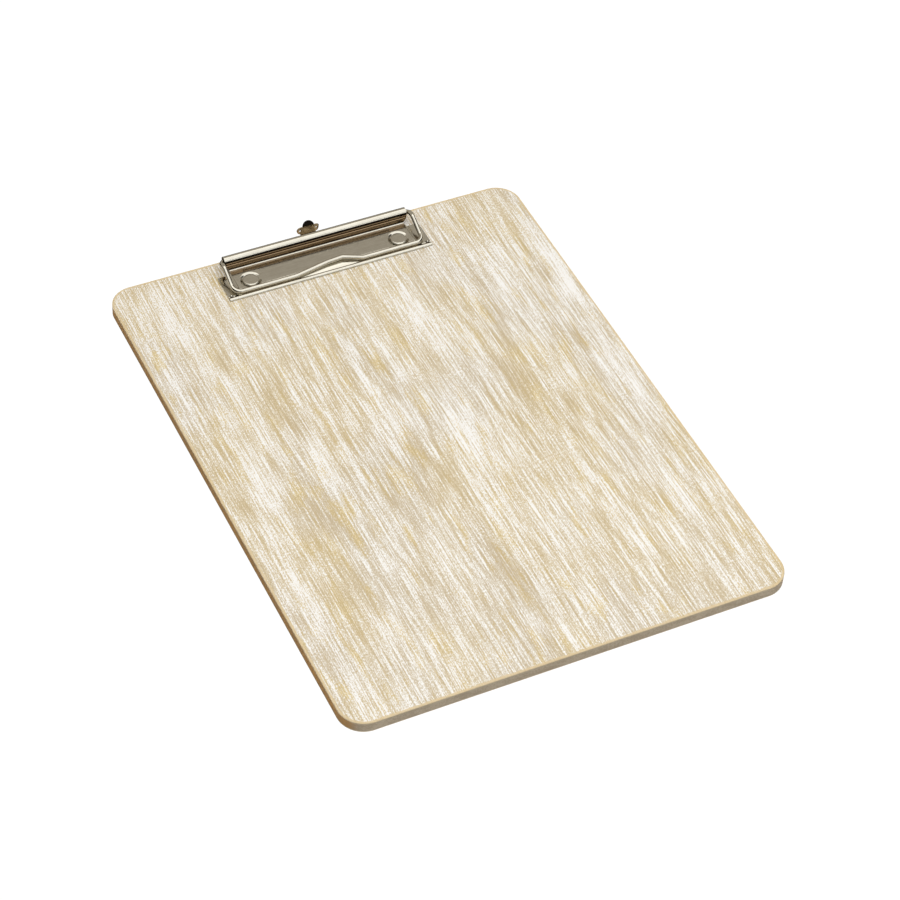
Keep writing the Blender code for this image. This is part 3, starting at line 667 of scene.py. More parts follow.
# ------------------------------------------------------------------ board
@dataclass
class Board:
    """Fibreboard core between two veneers, with the rivets' holes and counterbores."""

    datum: ClipDatum
    corner_radius: float = 13.5 * MM
    edge_round: float = 0.35 * MM
    rim_width: float = 2.2 * MM
    rivet_places: tuple[float, float] = (-43.5 * MM, 43.5 * MM)
    rivet_setback: float = 20.9 * MM
    hole_radius: float = 2.15 * MM
    counterbore_radius: float = 4.75 * MM
    counterbore_depth: float = 1.95 * MM
    corner_segments: int = 20
    hole_segments: int = 48

    def build(self, veneer: bpy.types.Material, core: bpy.types.Material) -> None:
        """Build and place the three layers."""
        core_low, core_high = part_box("board_core")
        back_low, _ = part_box("back_veneer")
        _, face_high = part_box("face_veneer")
        self.width = core_high.x - core_low.x
        self.length = core_high.y - core_low.y
        sink = back_low.z + self.counterbore_depth
        plain_hole = [(self.hole_radius, core_high.z), (self.hole_radius, face_high.z)]
        face = self.layer(self.eased(face_high.z, core_high.z), plain_hole)
        stand_for(add_board_piece("face_veneer_sheet", face, veneer), "face_veneer")
        deep_hole = [
            (self.counterbore_radius, core_low.z),
            (self.counterbore_radius, sink),
            (self.hole_radius, sink),
            (self.hole_radius, core_high.z),
        ]
        middle = self.layer([(core_low.z, 0.0), (core_high.z, 0.0)], deep_hole)
        stand_for(add_board_piece("fibreboard_core", middle, core), "board_core")
        wide_hole = [(self.counterbore_radius, core_low.z), (self.counterbore_radius, back_low.z)]
        back = self.layer(self.eased(back_low.z, core_low.z), wide_hole)
        stand_for(add_board_piece("back_veneer_sheet", back, veneer), "back_veneer")

    def eased(self, face: float, joint: float) -> list[tuple[float, float]]:
        """Heights and insets of a veneer's outline, from the glue joint over the eased edge to the rim."""
        inward = math.copysign(self.edge_round, joint - face)
        turns = [QUARTER * step / 4 for step in range(5)]
        rounding = [
            (face + inward * (1 - math.sin(turn)), self.edge_round * (1 - math.cos(turn))) for turn in turns
        ]
        return [(joint, 0.0)] + rounding + [(face, self.rim_width)]

    def layer(self, levels: Sequence[tuple[float, float]], hole: Sequence[tuple]) -> bmesh.types.BMesh:
        """One layer of the board.

        Args:
            levels: height and inset of each loop of the outline.
            hole: radius and height of each loop of a rivet hole, from the first level's side to the last's.

        Returns:
            A closed bmesh, with vertex attributes for the worn rim and the cut edge.
        """
        bm = bmesh.new()
        rim = bm.verts.layers.float.new("rim")
        cut = bm.verts.layers.float.new("cut_edge")
        loop = self.outline(bm, levels[0][0])
        for vert in bm.verts:
            vert[rim] = vert[cut] = 1.0
        first_loops = list(loop)
        for (_, before), (height, inset) in zip(levels, levels[1:]):
            loop, fresh = extruded(bm, loop)
            for vert in fresh:
                vert.co = self.drawn_in(vert.co, before, inset, height)
                vert[rim] = 0.0 if inset > self.edge_round * 2 else 1.0
                vert[cut] = 0.0
        last_loops = list(loop)
        for x in self.rivet_places:
            spot = self.datum.at(x, self.rivet_setback, 0)
            made = bmesh.ops.create_circle(bm, cap_ends=False, segments=self.hole_segments, radius=1)["verts"]
            ring = list({edge for vert in made for edge in vert.link_edges})
            for index, (radius, height) in enumerate(hole):
                if index == 0:
                    first_loops += ring
                else:
                    ring, made = extruded(bm, ring)
                for vert in made:
                    away = vert.co.xy - spot.xy if index else vert.co.xy
                    vert.co.xy = spot.xy + away.normalized() * radius
                    vert.co.z = height
            last_loops += ring
        bmesh.ops.triangle_fill(bm, use_beauty=True, edges=first_loops)
        bmesh.ops.triangle_fill(bm, use_beauty=True, edges=last_loops)
        bmesh.ops.recalc_face_normals(bm, faces=bm.faces)
        return bm

    def outline(self, bm: bmesh.types.BMesh, height: float) -> list[bmesh.types.BMEdge]:
        """Loop of the board's outline at a height."""
        made = bmesh.ops.create_grid(bm, x_segments=1, y_segments=1, size=0.5)["verts"]
        bmesh.ops.scale(bm, vec=(self.width, self.length, 1), verts=made)
        bmesh.ops.translate(bm, vec=(0, 0, height), verts=made)
        bmesh.ops.bevel(
            bm, geom=made, affect="VERTICES", offset=self.corner_radius,
            segments=self.corner_segments, profile=0.5, material=-1,
        )
        bmesh.ops.delete(bm, geom=bm.faces[:], context="FACES_ONLY")
        return bm.edges[:]

    def drawn_in(self, place: Vector, before: float, inset: float, height: float) -> Vector:
        """Where a point of the outline goes when the outline's inset and height change."""
        centre = Vector((
            math.copysign(self.width / 2 - self.corner_radius, place.x),
            math.copysign(self.length / 2 - self.corner_radius, place.y),
        ))
        shrink = (self.corner_radius - inset) / (self.corner_radius - before)
        return (centre + (place.xy - centre) * shrink).to_3d() + Vector((0, 0, height))


def add_board_piece(name: str, bm: bmesh.types.BMesh, material: bpy.types.Material) -> bpy.types.Object:
    """Add a layer of the board, its faces flat and its eased edges smooth."""
    piece = add_piece(name, bm, material)
    crisp(piece)
    return piece


# ------------------------------------------------------------------ base plate
@dataclass
class BasePlate:
    """Stamped sheet: bead, valley, ramp, plateau with two dishes, flanges, rear wall and rolled barrel."""

    datum: ClipDatum
    sheet: float = 0.6 * MM
    gap: float = 0.25 * MM
    front: float = 31.5 * MM
    bead_width: float = 2.1 * MM
    bead_height: float = 1.4 * MM
    bead_round: float = 1.0 * MM
    bead_tilt: float = math.radians(78)
    bead_hem: float = 0.2 * MM
    valley_z: float = 0.42 * MM
    ramp_top: float = 24.2 * MM
    ramp_foot: float = 28.9 * MM
    ramp_power: float = 1.6
    rise: float = 0.9 * MM
    plateau_half: float = 51.6 * MM
    side_run: float = 0.8 * MM
    side_soft: float = 0.22 * MM
    wall_offset: float = 3.2 * MM
    flange_end: float = 12.4 * MM
    flange_corner: float = 2.0 * MM
    wall_lean: float = 1.0 * MM
    wall_foot_bend: float = 1.1 * MM
    shelf_bend: float = 0.45 * MM
    barrel_half: float = 53.7 * MM
    roll_radius: float = 2.2 * MM
    knuckle_inner: float = 42.8 * MM
    knuckle_relief: float = 0.4 * MM
    knuckle_start: float = math.radians(-15)
    knuckle_lip: float = 1.1 * MM
    lip_end: float = math.radians(-38)
    rivet_x: float = 43.5 * MM
    rivet_setback: float = 20.9 * MM
    hole_radius: float = 2.15 * MM
    dish_radius: float = 6.0 * MM
    dish_depth: float = 0.8 * MM
    dish_wall: float = 1.15 * MM
    dish_soft: float = 0.25 * MM
    patch_half: float = 7.0 * MM
    patch_front: float = 27.4 * MM
    patch_back: float = 14.4 * MM
    stud_radius: float = 1.3 * MM
    stud_height: float = 0.8 * MM
    stud_inset: float = 1.8 * MM
    stud_setback: float = 28.05 * MM
    lug_inner: float = 4.75 * MM
    lug_width: float = 2.6 * MM
    lug_length: float = 1.2 * MM
    dish_rings: tuple[float, ...] = (2.15, 3.6, 4.5, 4.75, 4.95, 5.2, 5.45, 5.7, 5.9, 6.05, 6.2)

    def __post_init__(self) -> None:
        """Work out the places that follow from the sizes."""
        low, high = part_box("base_plate")
        self.half_width = (high.x - low.x) / 2
        self.axis_setback = self.datum.end_y - self.datum.hinge.y
        self.axis_height = self.datum.hinge.z - self.datum.face_z
        self.flange_z = self.gap + self.sheet / 2
        self.plateau_z = self.flange_z + self.rise
        self.valley_front = self.front - self.bead_width
        self.plateau_back = self.axis_setback + self.wall_offset
        self.shelf_z = self.axis_height - self.roll_radius

    def build(self, material: bpy.types.Material) -> None:
        """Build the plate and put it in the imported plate's place."""
        bm = bmesh.new()
        columns = self.columns()
        row = self.front_rows(bm, columns)
        row = self.plateau_rows(bm, columns, row)
        for side in Side:
            self.dish(bm, side)
        self.rear_rows(bm, row)
        self.round_flange_corners(bm)
        bmesh.ops.recalc_face_normals(bm, faces=bm.faces)
        plate = add_piece("stamped_base_plate", bm, material)
        thicken(plate, self.sheet)
        ease_edges(plate, 0.09 * MM)
        bake_modifiers(plate)
        self.add_bosses(plate)
        stand_for(plate, "base_plate")

    def columns(self) -> list[float]:
        """Places across the plate where its sheet has an edge loop, left to right."""
        patch_start = self.rivet_x - self.patch_half
        spaced = [patch_start * step / 18 for step in range(18)]
        patch = [patch_start + MM * step for step in range(15)]
        patch = [x for x in patch if min(abs(x - cut) for cut in self.slit()) > 0.45 * MM] + list(self.slit())
        edge = self.plateau_half
        bend = [edge + self.side_run * part for part in (-0.5, -0.25, 0.0, 0.25, 0.5, 0.75, 1.0, 1.25, 1.5)]
        flange = [bend[-1] + (self.half_width - bend[-1]) * part for part in (0.25, 0.5, 0.72, 0.86, 1.0)]
        right = sorted(spaced[1:] + patch + bend + flange)
        return [-x for x in reversed(right)] + [0.0] + right

    def slit(self) -> tuple[float, float]:
        """Both sides of the relief between a knuckle and the middle of the roll."""
        return self.knuckle_inner, self.knuckle_inner + self.knuckle_relief

    def height(self, x: float, setback: float) -> float:
        """Height of the sheet's mid-surface over the flanges, the ramp, the plateau and the dishes."""
        fall = clamp((setback - self.ramp_top) / (self.ramp_foot - self.ramp_top)) ** self.ramp_power
        inner = self.plateau_z - (self.plateau_z - self.valley_z) * fall
        sink = clamp((setback - self.ramp_foot + MM) / MM)
        outer = self.flange_z - (self.flange_z - self.valley_z) * sink * sink * (3 - 2 * sink)
        foot = self.plateau_half + self.side_run
        side = softened(lambda out: clamp((foot - out) / self.side_run), abs(x), self.side_soft)
        flat = outer + (inner - outer) * side
        reach = math.hypot(abs(x) - self.rivet_x, setback - self.rivet_setback)
        floor = self.plateau_z - self.dish_depth
        sunk = softened(lambda r: clamp((self.dish_radius - r) / self.dish_wall), reach, self.dish_soft)
        return flat - sunk * max(0.0, flat - floor)

    def place(self, x: float, setback: float, height: float) -> Vector:
        """Point of the sheet in the row frame."""
        return self.datum.at(x, setback, height)

    def extrude_row(self, bm: bmesh.types.BMesh, row: list, places: Sequence[Vector]) -> list:
        """Extrude a row of points and put the new row at places, which run left to right."""
        edges = [bm.edges.get(pair) for pair in zip(row, row[1:])]
        made = verts_of(bmesh.ops.extrude_edge_only(bm, edges=edges)["geom"])
        new_row = sorted(made, key=lambda vert: vert.co.x)
        for vert, place in zip(new_row, places):
            vert.co = place
        return new_row

    def front_rows(self, bm: bmesh.types.BMesh, columns: Sequence[float]) -> list:
        """Bead and valley, from the bead's free edge back."""
        top = self.bead_height - self.sheet / 2
        tilt, hem = self.bead_tilt, self.bead_hem
        crown = self.front - 0.55 * self.sheet - self.bead_round * math.sin(tilt) - hem * math.cos(tilt)
        run, drop = crown - self.valley_front, top - self.valley_z
        lean = 2 * math.atan2(drop, run)
        bend = run / 2 / math.sin(lean)
        profile = arc((crown, top - self.bead_round), self.bead_round, QUARTER - tilt, QUARTER, 8)
        tip = (profile[0][0] + hem * math.cos(tilt), profile[0][1] - hem * math.sin(tilt))
        profile = [tip] + profile + arc((crown, top - bend), bend, QUARTER, QUARTER + lean, 6)[1:]
        profile += arc((self.valley_front, self.valley_z + bend), bend, lean - QUARTER, -QUARTER, 6)[1:]
        row = [bm.verts.new(self.place(x, *profile[0])) for x in columns]
        for pair in zip(row, row[1:]):
            bm.edges.new(pair)
        for point in profile[1:]:
            row = self.extrude_row(bm, row, [self.place(x, *point) for x in columns])
        return row

    def plateau_rows(self, bm: bmesh.types.BMesh, columns: Sequence[float], row: list) -> list:
        """Valley floor, ramp, plateau and flanges, back to the foot of the rear wall."""
        patch = [self.patch_front - MM * step for step in range(14)]
        foot = [self.ramp_foot - MM * part for part in (-0.2, 0.0, 0.25, 0.5, 0.75, 1.0)]
        setbacks = foot + patch + [13.4 * MM, self.flange_end]
        for setback in setbacks:
            places = [self.place(x, setback, self.height(x, setback)) for x in columns]
            row = self.extrude_row(bm, row, places)
        self.flange_ends = [row[0], row[-1]]
        foot = self.plateau_half + self.side_run
        row = [vert for vert in row if abs(vert.co.x - self.datum.centre_x) < foot + TOUCH]
        inner = [vert.co.x - self.datum.centre_x for vert in row]
        back = self.flange_end - self.wall_foot_bend / 2
        return self.extrude_row(bm, row, [self.place(x, back, self.height(x, back)) for x in inner])

    def dish(self, bm: bmesh.types.BMesh, side: Side) -> None:
        """Replace the sheet round a rivet with rings that follow its dish."""
        x = side.value * self.rivet_x
        inside = []
        for face in bm.faces:
            middle = face.calc_center_median()
            across = abs(middle.x - self.datum.centre_x - x)
            setback = self.datum.end_y - middle.y
            if across < self.patch_half and self.patch_back < setback < self.patch_front:
                inside.append(face)
        rim = {edge for face in inside for edge in face.edges}
        rim = [edge for edge in rim if not all(face in inside for face in edge.link_faces)]
        bmesh.ops.delete(bm, geom=inside, context="FACES")
        loop = [edge for edge in rim if edge.is_valid]
        centre = self.datum.at(x, self.rivet_setback, 0)
        for radius in reversed(self.dish_rings):
            loop, fresh = extruded(bm, loop)
            fresh.sort(key=lambda vert: math.atan2(vert.co.y - centre.y, vert.co.x - centre.x))
            for index, vert in enumerate(fresh):
                turn = math.pi * (2 * index + 1) / len(fresh) - math.pi
                across = x + radius * MM * math.cos(turn)
                setback = self.rivet_setback - radius * MM * math.sin(turn)
                vert.co = self.place(across, setback, self.height(across, setback))

    def rear_rows(self, bm: bmesh.types.BMesh, row: list) -> None:
        """Rear wall, shelf and rolled barrel, with its middle lip and two knuckle lips."""
        centre = self.datum.centre_x
        row = [vert for vert in row if abs(vert.co.x - centre) < self.plateau_half + TOUCH]
        shelf_front = self.plateau_back - self.wall_lean
        corners = [
            ((self.flange_end - self.wall_foot_bend / 2, self.plateau_z, 0), 0),
            ((self.plateau_back, self.plateau_z, 0), self.wall_foot_bend),
            ((shelf_front, self.shelf_z, 0), self.shelf_bend),
            ((self.axis_setback, self.shelf_z, 0), 0),
        ]
        roll = arc(
            (self.axis_setback, self.axis_height), self.roll_radius,
            -QUARTER, self.knuckle_start - 2 * math.pi, 54,
        )
        profile = [(point.x, point.y) for point in rounded_path(corners, steps=6)[1:]] + roll[1:]
        across = [vert.co.x - centre for vert in row]
        for setback, height in profile:
            spread = clamp((height - self.shelf_z + 2 * self.sheet) / self.sheet)
            if height >= self.shelf_z:
                spread = 1.0
            reach = self.plateau_half + (self.barrel_half - self.plateau_half) * spread
            scaled = [math.copysign(reach, x) if abs(x) > self.plateau_half - TOUCH else x for x in across]
            row = self.extrude_row(bm, row, [self.place(x, setback, height) for x in scaled])
        inner, outer = self.slit()
        axis = (self.axis_setback, self.axis_height)
        lip = arc(axis, self.roll_radius, self.knuckle_start, self.lip_end, 6)
        middle = [vert for vert in row if abs(vert.co.x - centre) < inner + TOUCH]
        for setback, height in lip[1:]:
            places = [self.place(vert.co.x - centre, setback, height) for vert in middle]
            middle = self.extrude_row(bm, middle, places)
        down = Vector((0, -math.sin(self.knuckle_start), -math.cos(self.knuckle_start))) * self.knuckle_lip
        for side in Side:
            knuckle = [vert for vert in row if (vert.co.x - centre) * side.value > outer - TOUCH]
            for _ in range(2):
                knuckle = self.extrude_row(bm, knuckle, [vert.co + down / 2 for vert in knuckle])

    def round_flange_corners(self, bm: bmesh.types.BMesh) -> None:
        """Round the two back corners of the flanges."""
        bmesh.ops.bevel(
            bm, geom=self.flange_ends, affect="VERTICES", offset=self.flange_corner, segments=6,
            profile=0.5, material=-1,
        )

    def add_bosses(self, plate: bpy.types.Object) -> None:
        """Add the pressed corner studs and the two tab lugs under the plateau to the plate's mesh."""
        bm = bmesh.new()
        bm.from_mesh(plate.data)
        for side in Side:
            dome = self.stud_profile()
            stud_x = side.value * (self.half_width - self.stud_inset)
            spot = self.datum.at(stud_x, self.stud_setback, self.flange_z)
            append(bm, spun(dome, spot, steps=32))
            low = self.datum.at(0, self.plateau_back + self.sheet + self.lug_length, self.gap)
            size = Vector((self.lug_width, self.lug_length, self.plateau_z - self.gap))
            lug = bmesh.new()
            cube = bmesh.ops.create_cube(lug, size=1)["verts"]
            bmesh.ops.scale(lug, vec=size, verts=cube)
            centre_x = side.value * (self.lug_inner + self.lug_width / 2)
            bmesh.ops.translate(lug, vec=low + size / 2 + Vector((centre_x - size.x / 2, 0, 0)), verts=cube)
            bmesh.ops.bevel(
                lug, geom=lug.edges[:], affect="EDGES", offset=0.12 * MM, segments=2, profile=0.5, material=-1
            )
            append(bm, lug)
        bm.to_mesh(plate.data)
        bm.free()

    def stud_profile(self) -> list[tuple[float, float]]:
        """Section of a corner stud: a low cone frustum with a round top."""
        top = self.sheet / 2 + self.stud_height
        crown = arc((0, top - 0.75 * MM), 0.75 * MM, QUARTER, math.radians(35), 5)
        return crown + [(self.stud_radius, 0.1 * MM), (0, 0.1 * MM)]


def append(bm: bmesh.types.BMesh, other: bmesh.types.BMesh) -> None:
    """Copy another bmesh into this one, smooth shaded, and free it."""
    carrier = bpy.data.meshes.new("carrier")
    other.to_mesh(carrier)
    other.free()
    carrier.shade_smooth()
    bm.from_mesh(carrier)
    bpy.data.meshes.remove(carrier)


def bake_modifiers(piece: bpy.types.Object) -> None:
    """Make a piece's evaluated mesh its own, and drop its modifiers."""
    graph = bpy.context.evaluated_depsgraph_get()
    baked = bpy.data.meshes.new_from_object(piece.evaluated_get(graph))
    piece.modifiers.clear()
    old = piece.data
    piece.data = baked
    bpy.data.meshes.remove(old)
    baked.name = piece.name


# ------------------------------------------------------------------ rivets and washers
@dataclass
class RivetSet:
    """Two tubular-head rivets with a washer each, sunk in the board's back."""

    datum: ClipDatum
    setback: float = 20.9 * MM
    spacing: float = 87.0 * MM
    head_radius: float = 4.5 * MM
    rim: float = 0.6 * MM
    crown: float = 0.15 * MM
    head_height: float = 0.8 * MM
    shank_radius: float = 1.9 * MM
    tail_radius: float = 3.3 * MM
    cup_radius: float = 1.2 * MM
    cup_depth: float = 0.25 * MM
    seat_gap: float = 0.25 * MM
    hole_radius: float = 2.15 * MM
    ease: float = 0.12 * MM

    def build(self, material: bpy.types.Material) -> None:
        """Build both rivets and both washers."""
        for side in Side:
            axis = self.datum.at(side.value * self.spacing / 2, self.setback, -self.datum.face_z)
            rivet = add_piece(f"{side.label}_crowned_rivet", spun(self.rivet_profile(side), axis), material)
            crisp(rivet, math.radians(40))
            stand_for(rivet, f"{side.label}_rivet")
            washer = add_piece(f"{side.label}_back_washer", spun(self.washer_profile(side), axis), material)
            crisp(washer, math.radians(40))
            stand_for(washer, f"{side.label}_rivet_washer")

    def rivet_profile(self, side: Side) -> list[tuple[float, float]]:
        """Section of a rivet: crowned head with a round rim, shank, and set tail."""
        low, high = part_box(f"{side.label}_rivet")
        washer_low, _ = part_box(f"{side.label}_rivet_washer")
        top, seat = high.z, high.z - self.head_height
        tail_radius = self.tail_radius
        tail_top = washer_low.z - self.seat_gap
        turn = arc(
            (self.head_radius - self.rim, top - self.crown - self.rim), self.rim, math.radians(82), 0, 10
        )
        dome = [
            (turn[0][0] * part, turn[0][1] + (top - turn[0][1]) * math.sqrt(1 - part**2))
            for part in (0.0, 0.3, 0.55, 0.75, 0.9)
        ]
        foot = [(self.head_radius, seat + self.ease), (self.head_radius - self.ease, seat)]
        shank = [(self.shank_radius, seat), (self.shank_radius, tail_top)]
        tail = arc((tail_radius - self.ease, tail_top - self.ease), self.ease, QUARTER, 0, 3)
        tail += arc((tail_radius - self.ease, low.z + self.ease), self.ease, 0, -QUARTER, 3)
        floor = low.z + self.cup_depth
        cup = [(self.cup_radius, low.z), (self.cup_radius - 0.3 * MM, floor), (0, floor)]
        return dome + turn + foot + shank + tail + cup

    def washer_profile(self, side: Side) -> list[tuple[float, float]]:
        """Section of a washer, as a closed line with eased corners."""
        low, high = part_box(f"{side.label}_rivet_washer")
        outer = (high.x - low.x) / 2
        corners = [
            (outer - self.ease, high.z - self.ease, QUARTER),
            (outer - self.ease, low.z + self.ease, 0),
            (self.hole_radius + self.ease, low.z + self.ease, -QUARTER),
            (self.hole_radius + self.ease, high.z - self.ease, -2 * QUARTER),
        ]
        profile = []
        for x, z, start in corners:
            profile += arc((x, z), self.ease, start, start - QUARTER, 3)
        return profile + profile[:1]


# ------------------------------------------------------------------ wire work
class WireBender:
    """Feeds a round wire and bends it, the way a wire former does."""

    def __init__(self, start: Vector, direction: Vector, radius: float, sides: int) -> None:
        """Clamp the wire's first end at start, facing direction."""
        self.bm = bmesh.new()
        made = bmesh.ops.create_circle(self.bm, cap_ends=False, segments=sides, radius=radius)["verts"]
        turn = Vector((0, 0, 1)).rotation_difference(direction)
        bmesh.ops.rotate(self.bm, cent=(0, 0, 0), matrix=turn.to_matrix(), verts=made)
        bmesh.ops.translate(self.bm, vec=start, verts=made)
        self.ring = list(self.bm.edges)
        self.first = list(self.ring)
        self.at = start.copy()
        self.direction = direction.normalized()
        self.radius = radius

    def feed(self, length: float) -> None:
        """Feed a straight length."""
        self.ring, fresh = extruded(self.bm, self.ring)
        bmesh.ops.translate(self.bm, vec=self.direction * length, verts=fresh)
        self.at = self.at + self.direction * length

    def bend(self, centre: Vector, axis: Vector, angle: float, steps: int, advance: float = 0.0) -> None:
        """Bend the wire round an axis.

        Args:
            centre: a point on the axis.
            axis: the axis, right-handed.
            angle: how far the wire turns.
            steps: chords in the bend.
            advance: travel along the axis over the whole bend, for a coil.
        """
        step_move = axis.normalized() * (advance / steps)
        made = bmesh.ops.spin(
            self.bm, geom=self.ring + list({vert for edge in self.ring for vert in edge.verts}), cent=centre,
            axis=axis, dvec=step_move, angle=angle, steps=steps, use_merge=False, use_duplicate=False,
        )["geom_last"]
        self.ring = edges_of(made)
        turn = Quaternion(axis, angle)
        self.at = centre + turn @ (self.at - centre) + axis.normalized() * advance
        self.direction = turn @ self.direction

    def bend_to(self, after: Vector, corner: Vector, radius: float, steps: int) -> None:
        """Feed up to a corner's bend and turn there towards the next corner."""
        back, ahead = -self.direction, (after - corner).normalized()
        half = back.angle(ahead) / 2
        inset = radius / math.tan(half)
        self.feed((corner - self.at).length - inset)
        centre = corner + (back + ahead).normalized() * radius / math.sin(half)
        self.bend(centre, back.cross(ahead) * -1, math.pi - 2 * half, steps)

    def finish(self, round_share: float = 0.55) -> bmesh.types.BMesh:
        """Cap both ends, round their rims and hand the mesh over."""
        caps = []
        for ring in (self.first, self.ring):
            made = bmesh.ops.edgeloop_fill(self.bm, edges=ring)["faces"]
            caps += made
        rims = list({edge for face in caps for edge in face.edges})
        bmesh.ops.bevel(
            self.bm, geom=rims, affect="EDGES", offset=self.radius * round_share, segments=4, profile=0.5,
            material=-1,
        )
        bmesh.ops.recalc_face_normals(self.bm, faces=self.bm.faces)
        return self.bm


@dataclass
class WireBail:
    """Sprung wire bail: two tails in the barrel, two arms over it, and a front bar with a finger wave."""

    datum: ClipDatum
    radius: float = 1.25 * MM
    half_width: float = 55.5 * MM
    tail_inner: float = 38.5 * MM
    hump: tuple[float, float] = (5.6 * MM, 1.4 * MM)
    knee: tuple[float, float] = (16.0 * MM, 3.3 * MM)
    tail_bend: float = 3.0 * MM
    hump_bend: float = 4.5 * MM
    knee_bend: float = 8.0 * MM
    front_bend: float = 4.5 * MM
    bar_setback: float = 28.05 * MM
    bar_height: float = 2.35 * MM
    wave_tilt: float = math.radians(20)
    wave: tuple[tuple[float, float, float], ...] = (
        (-20.0 * MM, 0.0, 22.0 * MM),
        (-1.0 * MM, 3.0 * MM, 22.0 * MM),
        (8.2 * MM, 3.6 * MM, 3.0 * MM),
        (19.0 * MM, 0.0, 3.0 * MM),
    )

    def build(self, material: bpy.types.Material) -> None:
        """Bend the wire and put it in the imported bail's place."""
        corners = self.arm(Side.LEFT) + self.wave_corners() + self.arm(Side.RIGHT)[::-1]
        start, second = corners[0][0], corners[1][0]
        wire = WireBender(start, (second - start).normalized(), self.radius, sides=24)
        for (corner, radius), (after, _) in zip(corners[1:], corners[2:]):
            steps = 16 if radius < 10 * MM else 12
            wire.bend_to(after, corner, radius, steps)
        wire.feed((corners[-1][0] - wire.at).length)
        bail = add_piece("sprung_wire_bail", wire.finish(), material)
        stand_for(bail, "wire_bail")

    def arm(self, side: Side) -> list[tuple[Vector, float]]:
        """Corners of one arm, from its tail's inner end to the start of the front bar."""
        x = side.value * self.half_width
        hinge = self.datum.hinge
        front = self.datum.at(x, self.bar_setback, self.bar_height)
        axis = Vector((self.datum.centre_x + x, hinge.y, hinge.z))
        inner = Vector((self.datum.centre_x + side.value * self.tail_inner, hinge.y, hinge.z))
        return [
            (inner, 0.0),
            (axis, self.tail_bend),
            (axis + Vector((0, -self.hump[0], self.hump[1])), self.hump_bend),
            (axis + Vector((0, -self.knee[0], -self.knee[1])), self.knee_bend),
            (front, self.front_bend),
        ]

    def wave_corners(self) -> list[tuple[Vector, float]]:
        """Corners of the finger wave, along a plane that slopes up and back from the bar."""
        back, up = math.cos(self.wave_tilt), math.sin(self.wave_tilt)
        return [
            (self.datum.at(x, self.bar_setback - rise * back, self.bar_height + rise * up), bend)
            for x, rise, bend in self.wave
        ]


@dataclass
class TorsionSprings:
    """Two fine torsion springs inside the barrel, which turn the bail down."""

    datum: ClipDatum
    wire_radius: float = 0.25 * MM
    coil_radius: float = 1.35 * MM
    turns: int = 9
    coil_length: float = 9.0 * MM
    leg: float = 1.4 * MM
    leg_bend: float = 0.45 * MM
    outer: float = 38.25 * MM

    def build(self, material: bpy.types.Material) -> None:
        """Coil both springs."""
        for side in Side:
            piece = add_piece(f"{side.label}_coiled_spring", self.coil(side), material)
            stand_for(piece, f"{side.label}_torsion_spring")

    def coil(self, side: Side) -> bmesh.types.BMesh:
        """Wind one spring: outer leg, coil, inner leg."""
        inward = Vector((-side.value, 0, 0))
        up = Vector((0, 0, 1))
        axis_x = self.datum.centre_x + side.value * self.outer
        start = Vector((axis_x, self.datum.hinge.y + self.coil_radius, self.datum.hinge.z - self.leg_bend))
        wire = WireBender(start, inward, self.wire_radius, sides=10)
        wire.feed(self.leg - self.leg_bend)
        wire.bend(wire.at + up * self.leg_bend, inward.cross(up), QUARTER, 5)
        axis = Vector((1, 0, 0))
        wire.bend(
            self.datum.hinge.copy(), axis, 2 * math.pi * self.turns, 24 * self.turns,
            advance=-side.value * self.coil_length,
        )
        wire.bend(wire.at + inward * self.leg_bend, up.cross(inward), QUARTER, 5)
        wire.feed(self.leg - 2 * self.leg_bend)
        return wire.finish(round_share=0.3)


